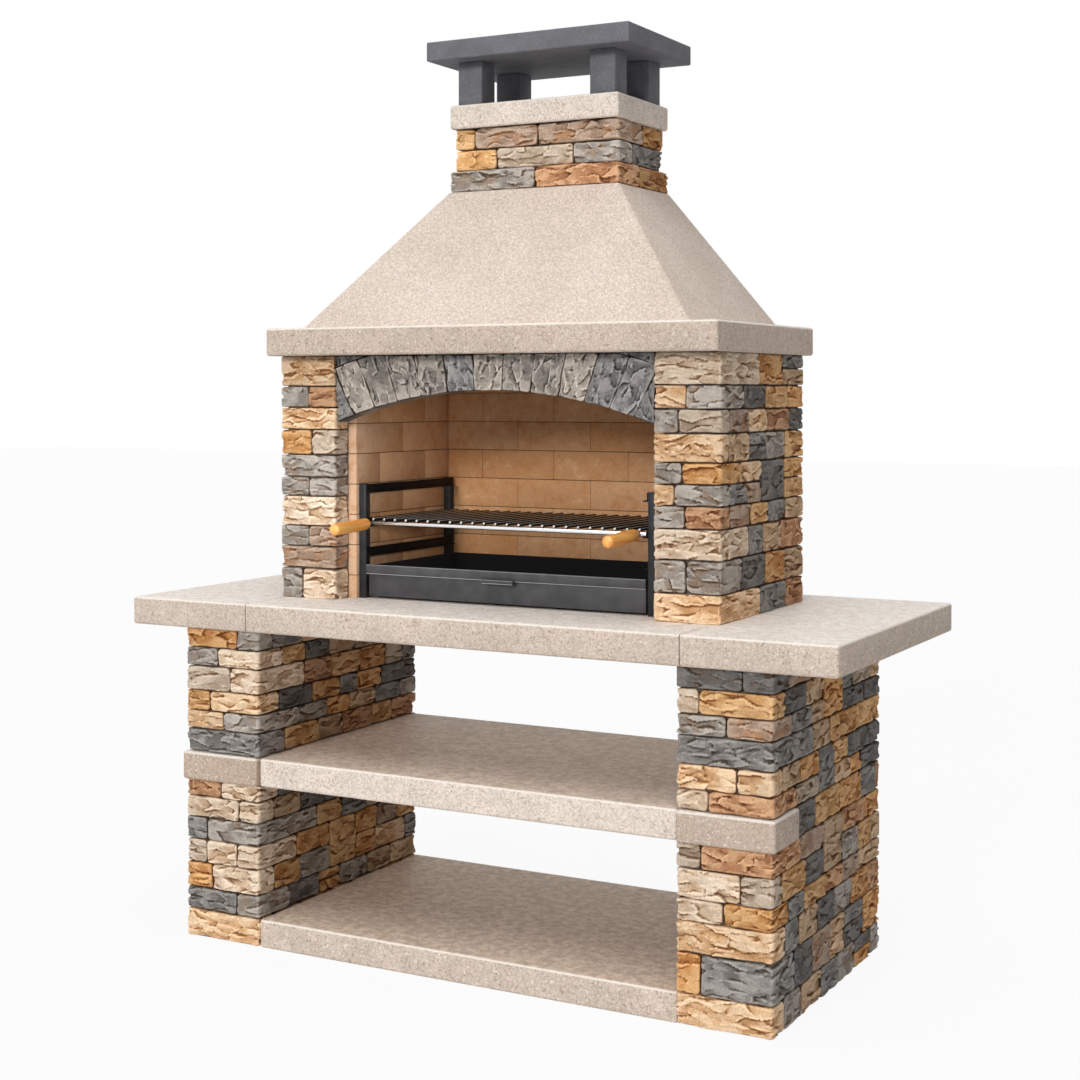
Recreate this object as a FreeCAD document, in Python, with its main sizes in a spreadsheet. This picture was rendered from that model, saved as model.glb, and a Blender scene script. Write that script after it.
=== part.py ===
"""Masonry barbecue with a worktop, two shelves, a stone-clad firebox, a hood and a chimney.

Frame, in millimetres: +Z up, the floor at Z 0, X 0 on the middle of the barbecue, Y 0 half way
through the depth of the worktop. The front faces -Y.
"""
import FreeCAD, Part
import Sketcher
import math
import os
import random

from FreeCAD import Vector

# Driving dimensions: name, millimetres or count, meaning
SIZES = (
    ("bay_width", "1132", "clear width between the pedestals"),
    ("pedestal_width", "223", "width of a pedestal over its stones"),
    ("pedestal_depth", "729", "depth of a pedestal over its stones"),
    ("pedestal_setback", "26", "from the front of the worktop to the front of a pedestal"),
    ("shelf_thickness", "70", "thickness of both shelves"),
    ("shelf_setback", "31", "from the front of the worktop to the front of a shelf"),
    ("shelf_rear_inset", "5", "from the back of a pedestal to the back of a shelf"),
    ("lower_bay_height", "330", "clear height between the two shelves"),
    ("upper_bay_height", "316", "clear height between the middle shelf and the worktop"),
    ("bearer_depth", "152", "depth of a bearer block"),
    ("bearer_proud", "8", "how far a bearer block stands out of the stones"),
    ("worktop_thickness", "70", "thickness of the worktop"),
    ("worktop_depth", "855", "depth of the worktop"),
    ("worktop_overhang", "153.5", "how far the worktop passes a pedestal at each end"),
    ("worktop_bearing", "18", "how far the centre slab lies on each pedestal"),
    ("slab_arris", "7", "rounding of the edges of the cast slabs"),
    ("fit_gap", "0.5", "gap between slabs laid beside other pieces"),
    ("veneer", "30", "thickness of the facing stones"),
    ("stone_joint", "3", "gap between facing stones"),
    ("side_stone_length", "125", "usual length of a facing stone on a side"),
    ("firebox_width", "882", "clear width between the piers"),
    ("firebox_height", "614", "from the worktop to the underside of the mantel"),
    ("pier_width", "165", "width of a pier over its stones"),
    ("pier_depth", "529", "depth of a pier over its stones"),
    ("pier_setback", "178", "from the front of the worktop to the front of a pier"),
    ("rear_wall_thickness", "40", "thickness of the wall behind the firebox"),
    ("lining_setback", "60", "from the front of a pier to the firebricks"),
    ("brick_thickness", "25", "thickness of the firebricks"),
    ("brick_length", "220", "length of a firebrick with its joint"),
    ("brick_height", "77", "height of a firebrick course with its joint"),
    ("first_brick_height", "59", "height of the lowest firebrick course with its joint"),
    ("brick_joint", "2", "gap between firebricks"),
    ("arch_setback", "8", "from the front of a pier to the face of the arch"),
    ("arch_rise", "80", "rise of the arch over its span"),
    ("arch_crown_drop", "87", "from the underside of the mantel down to the crown of the arch"),
    ("arch_ring_depth", "130", "depth of the arch ring, measured along the radius"),
    ("arch_end", "54", "width of the springer at each end, along the span"),
    ("arch_fan", "780", "from the crown of the arch down to where its joints would meet"),
    ("arch_joint", "0.6", "gap between the arch stones"),
    ("voussoir_count", "11", "arch stones between the two springers"),
    ("mantel_thickness", "70", "thickness of the mantel"),
    ("mantel_depth", "621", "depth of the mantel"),
    ("mantel_overhang_side", "12", "how far the mantel passes a pier at each side"),
    ("mantel_overhang_front", "49", "how far the mantel passes the piers in front"),
    ("mantel_lip", "12", "from the front of the firebricks to the smoke opening"),
    ("hood_height", "351", "height of the hood"),
    ("hood_depth", "566", "depth of the hood at its foot"),
    ("hood_inset_side", "86", "from an end of the mantel to the foot of the hood"),
    ("hood_inset_front", "40", "from the front of the mantel to the foot of the hood"),
    ("hood_wall", "45", "thickness of the hood at its foot"),
    ("chimney_width", "464", "width of the chimney over its stones"),
    ("chimney_depth", "261", "depth of the chimney over its stones"),
    ("chimney_height", "161", "height of the chimney stones"),
    ("chimney_rear_setback", "51", "from the back of the hood's foot to the chimney"),
    ("chimney_foot_side", "9", "how far the lowest chimney course steps out sideways"),
    ("chimney_foot_depth", "20", "how far the lowest chimney course steps out in depth"),
    ("flue_wall", "45", "thickness of the flue block around the flue"),
    ("cap_thickness", "61", "thickness of the chimney cap"),
    ("cap_overhang_side", "8", "how far the cap passes the chimney sideways"),
    ("cap_overhang_depth", "18", "how far the cap passes the chimney in depth"),
    ("post_width", "70", "width of a cowl post"),
    ("post_depth", "68", "depth of a cowl post"),
    ("post_height", "111", "height of a cowl post"),
    ("post_inset", "16", "from the edge of the cap to a cowl post"),
    ("cowl_thickness", "49", "thickness of the cowl"),
    ("cowl_overhang_side", "47", "how far the cowl passes the cap sideways"),
    ("cowl_overhang_depth", "38", "how far the cowl passes the cap in depth"),
    ("cowl_arris", "4", "rounding of the edges of the cowl"),
    ("rack_post", "20", "section of a rack post"),
    ("rack_gap", "2", "gap between a rack and the firebricks beside it"),
    ("rack_setback", "10", "from the front of the firebricks to a rack"),
    ("rack_rear_gap", "3", "gap between a rack and the firebricks behind it"),
    ("rail_height", "22", "upright leg of a rail's angle section"),
    ("rail_flange", "14", "level leg of a rail's angle section"),
    ("rail_thickness", "3", "thickness of a rail's legs"),
    ("low_rail_level", "107", "from the worktop to the underside of the lowest rail"),
    ("middle_rail_level", "182", "from the worktop to the underside of the middle rail"),
    ("top_rail_level", "267", "from the worktop to the underside of the top rail"),
    ("running_gap", "0.3", "gap under what slides"),
    ("rail_lap", "5", "how far a rail laps over the rear post"),
    ("rod_side_gap", "2", "gap between the end of a cross rod and the rail beside it"),
    ("cross_rod", "12", "diameter of the grill's front and rear rods"),
    ("grill_bar", "7", "diameter of a grill bar"),
    ("grill_bar_count", "24", "bars of the grill"),
    ("grill_edge", "17", "from the end of a cross rod to the outermost bar"),
    ("weld_gap", "0.05", "gap where rods meet at a weld"),
    ("stem_inset", "16.5", "from the end of the front rod to the middle of a handle"),
    ("stem_diameter", "8", "diameter of a handle's stem"),
    ("stem_reach", "13", "from the front rod to the ferrule"),
    ("ferrule_length", "14", "length of a handle's ferrule"),
    ("ferrule_diameter", "17", "diameter of a ferrule where it meets the handle"),
    ("ferrule_tip", "11", "diameter of a ferrule at its thin end"),
    ("handle_length", "147", "length of a wooden handle"),
    ("handle_diameter", "30", "diameter of a wooden handle"),
    ("handle_round", "6", "rounding of a handle's ends"),
    ("handle_bore_gap", "0.1", "gap between a stem and the bore of its handle"),
    ("handle_wall", "18", "wood left in front of the end of a stem"),
    ("tray_side_gap", "4", "gap between the tray's rim and the rack post beside it"),
    ("tray_height", "77", "height of the tray's pan"),
    ("tray_sheet", "2", "thickness of the tray's sheet"),
    ("tray_setback", "4", "from the front of the rack to the pan of the tray"),
    ("tray_rear_gap", "6", "gap between the tray and the firebricks behind it"),
    ("runner_height", "6", "height of a tray runner"),
    ("runner_width", "25", "width of a tray runner"),
    ("runner_inset", "70", "from the side of the tray to a runner"),
    ("runner_setback", "60", "from the front of the tray to its runners"),
    ("rim_height", "24", "height of the tray's front rim"),
    ("rim_depth", "9", "depth of the tray's front rim"),
    ("rim_overhang", "3", "how far the rim passes the pan at each side and above"),
    ("pull_width", "86", "width of the tray's pull"),
    ("pull_reach", "15", "how far the pull stands out of the rim"),
    ("pull_sheet", "4", "thickness of the pull"),
    ("pull_lip", "10", "height of the turned-down lip of the pull"),
)

# Levels, lines and spans that follow from the driving dimensions
PLACES = (
    ("front_edge", "-Sizes.worktop_depth / 2"),
    ("pedestal_inner", "Sizes.bay_width / 2"),
    ("pedestal_outer", "pedestal_inner + Sizes.pedestal_width"),
    ("pedestal_front", "front_edge + Sizes.pedestal_setback"),
    ("pedestal_back", "pedestal_front + Sizes.pedestal_depth"),
    ("middle_shelf_bottom", "Sizes.shelf_thickness + Sizes.lower_bay_height"),
    ("middle_shelf_top", "middle_shelf_bottom + Sizes.shelf_thickness"),
    ("shelf_front", "front_edge + Sizes.shelf_setback"),
    ("shelf_back", "pedestal_back - Sizes.shelf_rear_inset"),
    ("shelf_end", "pedestal_inner - Sizes.fit_gap"),
    ("bearer_front", "pedestal_front - Sizes.bearer_proud"),
    ("bearer_back", "bearer_front + Sizes.bearer_depth"),
    ("bearer_outer", "pedestal_outer + Sizes.bearer_proud"),
    ("worktop_bottom", "middle_shelf_top + Sizes.upper_bay_height"),
    ("hearth", "worktop_bottom + Sizes.worktop_thickness"),
    ("worktop_end", "pedestal_outer + Sizes.worktop_overhang"),
    ("worktop_joint", "pedestal_inner + Sizes.worktop_bearing"),
    ("pier_inner", "Sizes.firebox_width / 2"),
    ("pier_outer", "pier_inner + Sizes.pier_width"),
    ("pier_front", "front_edge + Sizes.pier_setback"),
    ("pier_back", "pier_front + Sizes.pier_depth"),
    ("lining_front", "pier_front + Sizes.lining_setback"),
    ("lining_face", "pier_inner - Sizes.brick_thickness"),
    ("lining_rear", "pier_back - Sizes.brick_thickness"),
    ("mantel_bottom", "hearth + Sizes.firebox_height"),
    ("mantel_top", "mantel_bottom + Sizes.mantel_thickness"),
    ("mantel_end", "pier_outer + Sizes.mantel_overhang_side"),
    ("mantel_front", "pier_front - Sizes.mantel_overhang_front"),
    ("mantel_back", "mantel_front + Sizes.mantel_depth"),
    ("smoke_front", "lining_front + Sizes.mantel_lip"),
    ("hood_end", "mantel_end - Sizes.hood_inset_side"),
    ("hood_front", "mantel_front + Sizes.hood_inset_front"),
    ("hood_back", "hood_front + Sizes.hood_depth"),
    ("hood_top", "mantel_top + Sizes.hood_height"),
    ("chimney_end", "Sizes.chimney_width / 2"),
    ("chimney_back", "hood_back - Sizes.chimney_rear_setback"),
    ("chimney_front", "chimney_back - Sizes.chimney_depth"),
    ("flue_end", "chimney_end - Sizes.veneer - Sizes.flue_wall"),
    ("flue_front", "chimney_front + Sizes.veneer + Sizes.flue_wall"),
    ("flue_back", "chimney_back - Sizes.veneer - Sizes.flue_wall"),
    ("cap_bottom", "hood_top + Sizes.chimney_height"),
    ("cap_top", "cap_bottom + Sizes.cap_thickness"),
    ("cap_end", "chimney_end + Sizes.cap_overhang_side"),
    ("cap_front", "chimney_front - Sizes.cap_overhang_depth"),
    ("cap_back", "chimney_back + Sizes.cap_overhang_depth"),
    ("cowl_bottom", "cap_top + Sizes.post_height"),
    ("cowl_end", "cap_end + Sizes.cowl_overhang_side"),
    ("cowl_front", "cap_front - Sizes.cowl_overhang_depth"),
    ("cowl_back", "cap_back + Sizes.cowl_overhang_depth"),
    ("rack_outer", "lining_face - Sizes.rack_gap"),
    ("rack_inner", "rack_outer - Sizes.rack_post"),
    ("rack_front", "lining_front + Sizes.rack_setback"),
    ("rack_back", "lining_rear - Sizes.rack_rear_gap"),
    ("rack_top", "hearth + Sizes.top_rail_level + Sizes.rail_height"),
    ("rail_back", "rack_back - Sizes.rack_post + Sizes.rail_lap"),
    ("rod_end", "rack_inner - Sizes.rail_thickness - Sizes.rod_side_gap"),
    ("rod_level", "hearth + Sizes.middle_rail_level + Sizes.rail_thickness"
                  " + Sizes.running_gap + Sizes.cross_rod / 2"),
    ("front_rod_line", "rack_front + Sizes.cross_rod / 2"),
    ("rear_rod_line", "rail_back - Sizes.cross_rod / 2"),
    ("stem_line", "rod_end - Sizes.stem_inset"),
    ("stem_back", "front_rod_line - Sizes.cross_rod / 2 - Sizes.weld_gap"),
    ("ferrule_back", "stem_back - Sizes.stem_reach"),
    ("handle_back", "ferrule_back - Sizes.ferrule_length"),
    ("tray_end", "rack_inner - Sizes.tray_side_gap - Sizes.rim_overhang"),
    ("tray_front", "rack_front + Sizes.tray_setback"),
    ("tray_back", "lining_rear - Sizes.tray_rear_gap"),
    ("runner_bottom", "hearth + Sizes.running_gap"),
    ("tray_bottom", "runner_bottom + Sizes.runner_height"),
    ("tray_top", "tray_bottom + Sizes.tray_height"),
    ("rim_top", "tray_top + Sizes.rim_overhang"),
    ("rim_bottom", "rim_top - Sizes.rim_height"),
    ("rim_front", "tray_front - Sizes.rim_depth"),
)

# Facing stones, course by course from the top. Each course is its share of the height, the shares
# of its front stones from left to right, and how far its corner stones reach back along the left
# and the right side, as shares of the depth.
LEFT_PEDESTAL_UPPER = (
    (49, (0.71, 0.29), 0.12, 0.08),
    (44, (0.44, 0.56), 0.20, 0.14),
    (59, (0.61, 0.39), 0.09, 0.27),
    (48, (0.32, 0.68), 0.24, 0.12),
    (44, (0.52, 0.48), 0.11, 0.24),
    (55, (1.0,), 0.17, 0.15),
)
LEFT_PEDESTAL_LOWER = (
    (40, (0.48, 0.52), 0.19, 0.11),
    (51, (0.73, 0.27), 0.10, 0.09),
    (54, (0.28, 0.72), 0.22, 0.34),
    (57, (0.28, 0.42, 0.30), 0.13, 0.22),
    (62, (0.35, 0.65), 0.08, 0.09),
    (54, (0.70, 0.30), 0.18, 0.18),
    (68, (1.0,), 0.10, 0.09),
)
RIGHT_PEDESTAL_UPPER = (
    (48, (0.69, 0.31), 0.20, 0.13),
    (53, (0.23, 0.77), 0.10, 0.10),
    (44, (0.52, 0.48), 0.16, 0.16),
    (60, (1.0,), 0.24, 0.34),
    (52, (0.63, 0.37), 0.12, 0.08),
    (44, (0.33, 0.67), 0.19, 0.20),
)
RIGHT_PEDESTAL_LOWER = (
    (56, (0.25, 0.75), 0.14, 0.23),
    (66, (0.67, 0.33), 0.09, 0.08),
    (49, (0.49, 0.51), 0.22, 0.13),
    (70, (1.0,), 0.12, 0.10),
    (91, (0.25, 0.75), 0.17, 0.18),
    (71, (1.0,), 0.09, 0.09),
)
LEFT_PIER = (
    (77, (1.0,), 0.20, 0.0),
    (52, (0.51, 0.49), 0.34, 0.0),
    (54, (1.0,), 0.12, 0.0),
    (62, (0.57, 0.43), 0.25, 0.0),
    (55, (1.0,), 0.15, 0.0),
    (46, (0.52, 0.48), 0.30, 0.0),
    (74, (1.0,), 0.11, 0.0),
    (50, (0.52, 0.48), 0.22, 0.0),
    (54, (1.0,), 0.36, 0.0),
    (77, (0.40, 0.60), 0.14, 0.0),
)
RIGHT_PIER = (
    (75, (1.0,), 0.0, 0.44),
    (53, (0.48, 0.52), 0.0, 0.26),
    (53, (0.36, 0.64), 0.0, 0.09),
    (65, (1.0,), 0.0, 0.09),
    (47, (0.42, 0.58), 0.0, 0.22),
    (47, (0.30, 0.70), 0.0, 0.09),
    (50, (0.46, 0.54), 0.0, 0.10),
    (69, (1.0,), 0.0, 0.31),
    (75, (0.48, 0.52), 0.0, 0.24),
    (66, (1.0,), 0.0, 0.45),
)
CHIMNEY = (
    (54, (0.12, 0.39, 0.49), 0.60, 0.54),
    (53, (0.26, 0.47, 0.27), 0.40, 0.30),
    (54, (0.52, 0.48), 0.55, 0.40),
)

TALL_STONE_SHARE = 0.55  # of the pairs of courses on a side, those with a stone two courses high
TALL_STONE_LENGTHS = (0.8, 1.2)  # shortest and longest of these, in usual lengths
TALL_STONE_ROOM = 3  # least run for such a stone, in usual lengths
SPLIT_STONE_SHARE = 0.16  # of the side stones, those that are two thin stones
SPLIT_STONE_HEIGHTS = (0.55, 0.45)  # lower and upper of the two
BAND_SHARES = (0.5, 0.5)  # rear stones at the level of the middle shelf
LEAST_CUT = 0.25  # of a firebrick: a smaller rest becomes part of the brick beside it
UNEVENNESS = 0.3  # how far the lengths of neighbouring side stones differ

doc = FreeCAD.newDocument("barbecue")
sizes = doc.addObject("Spreadsheet::Sheet", "Sizes")
places = doc.addObject("Spreadsheet::Sheet", "Places")
subparts = []


def fill_sheets():
    """Driving dimensions as plain numbers, and what follows from them as formulas."""
    for row, (alias, value, meaning) in enumerate(SIZES, start=1):
        sizes.set(f"A{row}", meaning)
        sizes.set(f"B{row}", value)
        sizes.setAlias(f"B{row}", alias)
    for row, (alias, formula) in enumerate(PLACES, start=1):
        places.set(f"A{row}", alias)
        places.set(f"B{row}", "=" + formula)
        places.setAlias(f"B{row}", alias)
    doc.recompute()


def size(alias):
    return float(sizes.get(alias))


def place(alias):
    return float(places.get(alias))


def count(alias):
    return round(size(alias))


def subpart(thing):
    subparts.append(thing)
    return thing


def bind(thing, **formulas):
    """Binds properties to formulas. Two underscores stand for a dot in a property's name."""
    for name, formula in formulas.items():
        thing.setExpression(name.replace("__", "."), formula)


def block(name, x, y, z):
    """A box between two formulas on each axis."""
    box = doc.addObject("Part::Box", name)
    bind(
        box,
        Length=f"({x[1]}) - ({x[0]})",
        Width=f"({y[1]}) - ({y[0]})",
        Height=f"({z[1]}) - ({z[0]})",
        Placement__Base__x=x[0],
        Placement__Base__y=y[0],
        Placement__Base__z=z[0],
    )
    return box


def mirrored(span):
    """The same span on the other side of X 0."""
    return (f"-({span[1]})", f"-({span[0]})")


def cut(name, base, tool):
    thing = doc.addObject("Part::Cut", name)
    thing.Base = base
    thing.Tool = tool
    return thing


def several(name, things):
    """Separate like pieces as one sub-part."""
    thing = doc.addObject("Part::Compound", name)
    thing.Links = things
    return thing


def rod(name, diameter, length, x, y, z, along):
    """A round rod from a point given by formulas, along X or Y."""
    bar = doc.addObject("Part::Cylinder", name)
    axis, angle = (Vector(0, 1, 0), 90) if along == "X" else (Vector(1, 0, 0), -90)
    bar.Placement = FreeCAD.Placement(Vector(), FreeCAD.Rotation(axis, angle))
    bind(
        bar,
        Radius=f"({diameter}) / 2",
        Height=length,
        Placement__Base__x=x,
        Placement__Base__y=y,
        Placement__Base__z=z,
    )
    return bar


def plane(body, role):
    return next(face for face in body.Origin.OriginFeatures if face.Role == role)


def rectangle(body, name, x, y, length, width):
    """A sketched rectangle in the body's XY plane, its corner offset from the body's origin."""
    sketch = body.newObject("Sketcher::SketchObject", name)
    sketch.AttachmentSupport = [(plane(body, "XY_Plane"), "")]
    sketch.MapMode = "FlatFace"
    # A unit square to start with: its constraints give it its real size. The sketcher calls the start
    # of a line point 1 and its end point 2, and the sketch's origin is point 1 of line -1.
    corners = (Vector(0, 0, 0), Vector(1, 0, 0), Vector(1, 1, 0), Vector(0, 1, 0))
    for start, end in zip(corners, corners[1:] + corners[:1]):
        sketch.addGeometry(Part.LineSegment(start, end))
    for side in range(4):
        sketch.addConstraint(Sketcher.Constraint("Coincident", side, 2, (side + 1) % 4, 1))
        direction = "Horizontal" if side % 2 == 0 else "Vertical"
        sketch.addConstraint(Sketcher.Constraint(direction, side))
    sketch.addConstraint(Sketcher.Constraint("Coincident", 0, 1, -1, 1))
    along = sketch.addConstraint(Sketcher.Constraint("DistanceX", 0, 1, 0, 2, 1))
    sketch.renameConstraint(along, "length")
    across = sketch.addConstraint(Sketcher.Constraint("DistanceY", 1, 1, 1, 2, 1))
    sketch.renameConstraint(across, "width")
    bind(
        sketch,
        Constraints__length=length,
        Constraints__width=width,
        AttachmentOffset__Base__x=x,
        AttachmentOffset__Base__y=y,
    )
    return sketch


def slab(name, x, y, z, arris):
    """A cast slab with all its edges rounded."""
    body = doc.addObject("PartDesign::Body", name)
    length = f"({x[1]}) - ({x[0]})"
    width = f"({y[1]}) - ({y[0]})"
    outline = rectangle(body, name + "_outline", "0", "0", length, width)
    pad = body.newObject("PartDesign::Pad", name + "_pad")
    pad.Profile = outline
    bind(pad, Length=f"({z[1]}) - ({z[0]})")
    doc.recompute()
    fillet = body.newObject("PartDesign::Fillet", name + "_arris")
    fillet.Base = (pad, ["Edge1"])
    fillet.UseAllEdges = True
    bind(fillet, Radius=arris)
    bind(body, Placement__Base__x=x[0], Placement__Base__y=y[0], Placement__Base__z=z[0])
    doc.recompute()
    return body


def opening(body, x, y, base):
    """Cuts a rectangular hole right through a slab whose corner lies at base."""
    before = body.Shape.Volume
    outline = rectangle(
        body,
        body.Name + "_opening",
        f"({x[0]}) - ({base[0]})",
        f"({y[0]}) - ({base[1]})",
        f"({x[1]}) - ({x[0]})",
        f"({y[1]}) - ({y[0]})",
    )
    pocket = body.newObject("PartDesign::Pocket", body.Name + "_cut")
    pocket.Profile = outline
    pocket.Type = "ThroughAll"
    pocket.Reversed = True
    doc.recompute()
    if body.Shape.Volume >= before:
        raise RuntimeError(f"{body.Name}: the opening cuts nothing")


def group(name, solids):
    """Separate solids worked out from the sheets, as one sub-part."""
    thing = doc.addObject("Part::Feature", name)
    thing.Shape = Part.makeCompound(solids)
    thing.Placement = FreeCAD.Placement()
    return subpart(thing)


def prism(points, bottom, top):
    """An upright prism over a list of plan points."""
    corners = [Vector(x, y, bottom) for x, y in points]
    outline = Part.makePolygon(corners + corners[:1])
    return Part.Face(outline).extrude(Vector(0, 0, top - bottom))


def cuboid(x, y, z):
    corner = Vector(x[0], y[0], z[0])
    return Part.makeBox(x[1] - x[0], y[1] - y[0], z[1] - z[0], corner)


def shared_out(start, end, shares, joint):
    """Spans that fill a length in the given shares, with a joint between neighbours."""
    unit = (end - start - joint * (len(shares) - 1)) / sum(shares)
    spans = []
    at = start
    for share in shares:
        spans.append((at, at + share * unit))
        at += share * unit + joint
    return spans


def course_bands(courses, bottom, top):
    """The height span of each course, from the top one down, with a joint under each."""
    joint = size("stone_joint")
    heights = [course[0] for course in reversed(courses)]
    return list(reversed(shared_out(bottom + joint, top, heights, joint)))


def run_of_stones(draw, start, end):
    """Uneven stones along a run."""
    usual = size("side_stone_length")
    number = max(1, round((end - start) / usual))
    shares = [1 + draw.uniform(-UNEVENNESS, UNEVENNESS) for _ in range(number)]
    return shared_out(start, end, shares, size("stone_joint"))


def side_stones(draw, bands, runs):
    """Stones of one side: (run span, height span) pairs, some two courses high, some split."""
    joint = size("stone_joint")
    usual = size("side_stone_length")
    stones = []
    row = 0
    while row < len(bands):
        start = max(run[0] for run in runs[row : row + 2])
        end = min(run[1] for run in runs[row : row + 2])
        tall = draw.random() < TALL_STONE_SHARE and row + 1 < len(bands)
        if tall and end - start > TALL_STONE_ROOM * usual:
            length = usual * draw.uniform(*TALL_STONE_LENGTHS)
            at = draw.uniform(start + usual, end - usual - length)
            stones.append(((at, at + length), (bands[row + 1][0], bands[row][1])))
            for band, run in zip(bands[row : row + 2], runs[row : row + 2]):
                stones += [(span, band) for span in run_of_stones(draw, run[0], at - joint)]
                stones += [(span, band) for span in run_of_stones(draw, at + length + joint, run[1])]
            row += 2
        else:
            for span in run_of_stones(draw, *runs[row]):
                if draw.random() < SPLIT_STONE_SHARE:
                    halves = shared_out(*bands[row], SPLIT_STONE_HEIGHTS, joint)
                    stones += [(span, half) for half in halves]
                else:
                    stones.append((span, bands[row]))
            row += 1
    return stones


def face_course(x, face, inward, shares, reach, band):
    """The stones of one course of a front or rear face.

    x is the span of the face, face its Y, inward the direction from the face into the wall, and
    reach how far the left and the right corner stone turn back along the sides.
    """
    veneer = size("veneer")
    spans = shared_out(x[0], x[1], shares, size("stone_joint"))
    back = face + inward * veneer
    stones = []
    for number, (left, right) in enumerate(spans):
        points = [(left, face), (right, face)]
        if number == len(spans) - 1 and reach[1] > veneer:
            end = face + inward * reach[1]
            points += [(right, end), (right - veneer, end), (right - veneer, back)]
        else:
            points += [(right, back)]
        if number == 0 and reach[0] > veneer:
            end = face + inward * reach[0]
            points += [(left + veneer, back), (left + veneer, end), (left, end)]
        else:
            points += [(left, back)]
        stones.append(prism(points, *band))
    return stones


def corner_reach(course, depth):
    """How far the corner stones of a course turn back along the left and the right side."""
    return [max(share * depth, size("veneer")) for share in course[2:]]


def pedestal_stones(side, upper, lower):
    """The facing of a pedestal: front, outer side, inner side and rear."""
    left_side = side == "left"
    draw = random.Random(f"{side} pedestal")
    joint = size("stone_joint")
    veneer = size("veneer")
    inner, outer = place("pedestal_inner"), place("pedestal_outer")
    x = (-outer, -inner) if left_side else (inner, outer)
    front, back = place("pedestal_front"), place("pedestal_back")
    depth = size("pedestal_depth")
    shelf_bottom, shelf_top = place("middle_shelf_bottom"), place("middle_shelf_top")
    zones = [(upper, course_bands(upper, shelf_top, place("worktop_bottom")))]
    zones.append((lower, course_bands(lower, 0, shelf_bottom)))
    outer_end = 0 if left_side else 1
    fronts, rears, outers, inners = [], [], [], []
    for courses, bands in zones:
        outer_runs, inner_runs = [], []
        for course, band in zip(courses, bands):
            reach = corner_reach(course, depth)
            rear_reach = reach[::-1]
            fronts += face_course(x, front, 1, course[1], reach, band)
            rears += face_course(x, back, -1, course[1][::-1], rear_reach, band)
            ends = [(front + reach[end] + joint, back - rear_reach[end] - joint) for end in (0, 1)]
            outer_runs.append(ends[outer_end])
            inner_runs.append(ends[1 - outer_end])
        outers.append((bands, outer_runs))
        inners.append((bands, inner_runs))
    # Behind the bearer block, the band at the level of the middle shelf has outer and rear stones.
    band = (shelf_bottom + joint, shelf_top)
    rears += face_course(x, back, -1, BAND_SHARES, (veneer, veneer), band)
    outers.append(([band], [(place("bearer_back") + joint, back - veneer - joint)]))

    def faced(wall, zones_of_side):
        stones = []
        for bands, runs in zones_of_side:
            stones += [cuboid(wall, run, high) for run, high in side_stones(draw, bands, runs)]
        return stones

    left_wall = (x[0], x[0] + veneer)
    right_wall = (x[1] - veneer, x[1])
    outer_wall, inner_wall = (left_wall, right_wall) if left_side else (right_wall, left_wall)
    group(f"{side}_pedestal_front_stones", fronts)
    group(f"{side}_pedestal_outer_stones", faced(outer_wall, outers))
    group(f"{side}_pedestal_inner_stones", faced(inner_wall, inners))
    group(f"{side}_pedestal_rear_stones", rears)


def pier_stones(side, courses):
    """The facing of a pier: front with its return into the firebox, and outer side."""
    left_side = side == "left"
    draw = random.Random(f"{side} pier")
    joint = size("stone_joint")
    veneer = size("veneer")
    inner, outer = place("pier_inner"), place("pier_outer")
    x = (-outer, -inner) if left_side else (inner, outer)
    front, back = place("pier_front"), place("pier_back")
    bands = course_bands(courses, place("hearth") - joint, place("mantel_bottom"))
    outer_end = 0 if left_side else 1
    fronts, runs = [], []
    for course, band in zip(courses, bands):
        reach = corner_reach(course, size("pier_depth"))
        reach[1 - outer_end] = size("lining_setback") - size("fit_gap")
        fronts += face_course(x, front, 1, course[1], reach, band)
        runs.append((front + reach[outer_end] + joint, back))
    wall = (x[0], x[0] + veneer) if left_side else (x[1] - veneer, x[1])
    sides = [cuboid(wall, run, high) for run, high in side_stones(draw, bands, runs)]
    group(f"{side}_pier_front_stones", fronts)
    group(f"{side}_pier_outer_stones", sides)


def chimney_stones():
    """Three courses around the flue block, the lowest one stepped out."""
    joint = size("stone_joint")
    veneer = size("veneer")
    end = place("chimney_end")
    front, back = place("chimney_front"), place("chimney_back")
    bands = course_bands(CHIMNEY, place("hood_top") - joint, place("cap_bottom"))
    stones = []
    for course, band in zip(CHIMNEY, bands):
        lowest = course is CHIMNEY[-1]
        step_x = size("chimney_foot_side") if lowest else 0
        step_y = size("chimney_foot_depth") if lowest else 0
        depth = back - front + 2 * step_y
        x = (-end - step_x, end + step_x)
        reach = corner_reach(course, depth)
        rear_reach = [depth - joint - part for part in reach]
        ring = face_course(x, front - step_y, 1, course[1], reach, band)
        ring += face_course(x, back + step_y, -1, course[1][::-1], rear_reach, band)
        if lowest:
            core = cuboid((-end + veneer, end - veneer), (front + veneer, back - veneer), band)
            ring = [stone.cut(core) for stone in ring]
        stones += ring
    group("chimney_stones", stones)


def laid(start, end, first, pitch, joint):
    """Spans laid one after another from start. The last is cut to fit, and takes up a small rest."""
    spans = []
    at, step = start, first
    while end - at - step > LEAST_CUT * pitch:
        spans.append((at, at + step - joint))
        at += step
        step = pitch
    spans.append((at, end))
    return spans


def brick_wall(start, end):
    """Running bond from start to end: run spans with height spans."""
    joint = size("brick_joint")
    length, height = size("brick_length"), size("brick_height")
    rows = laid(place("hearth"), place("mantel_bottom"), size("first_brick_height"), height, joint)
    bricks = []
    for number, row in enumerate(rows):
        first = length if number % 2 == 1 else length / 2
        bricks += [(run, row) for run in laid(start, end, first, length, joint)]
    return bricks


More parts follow.
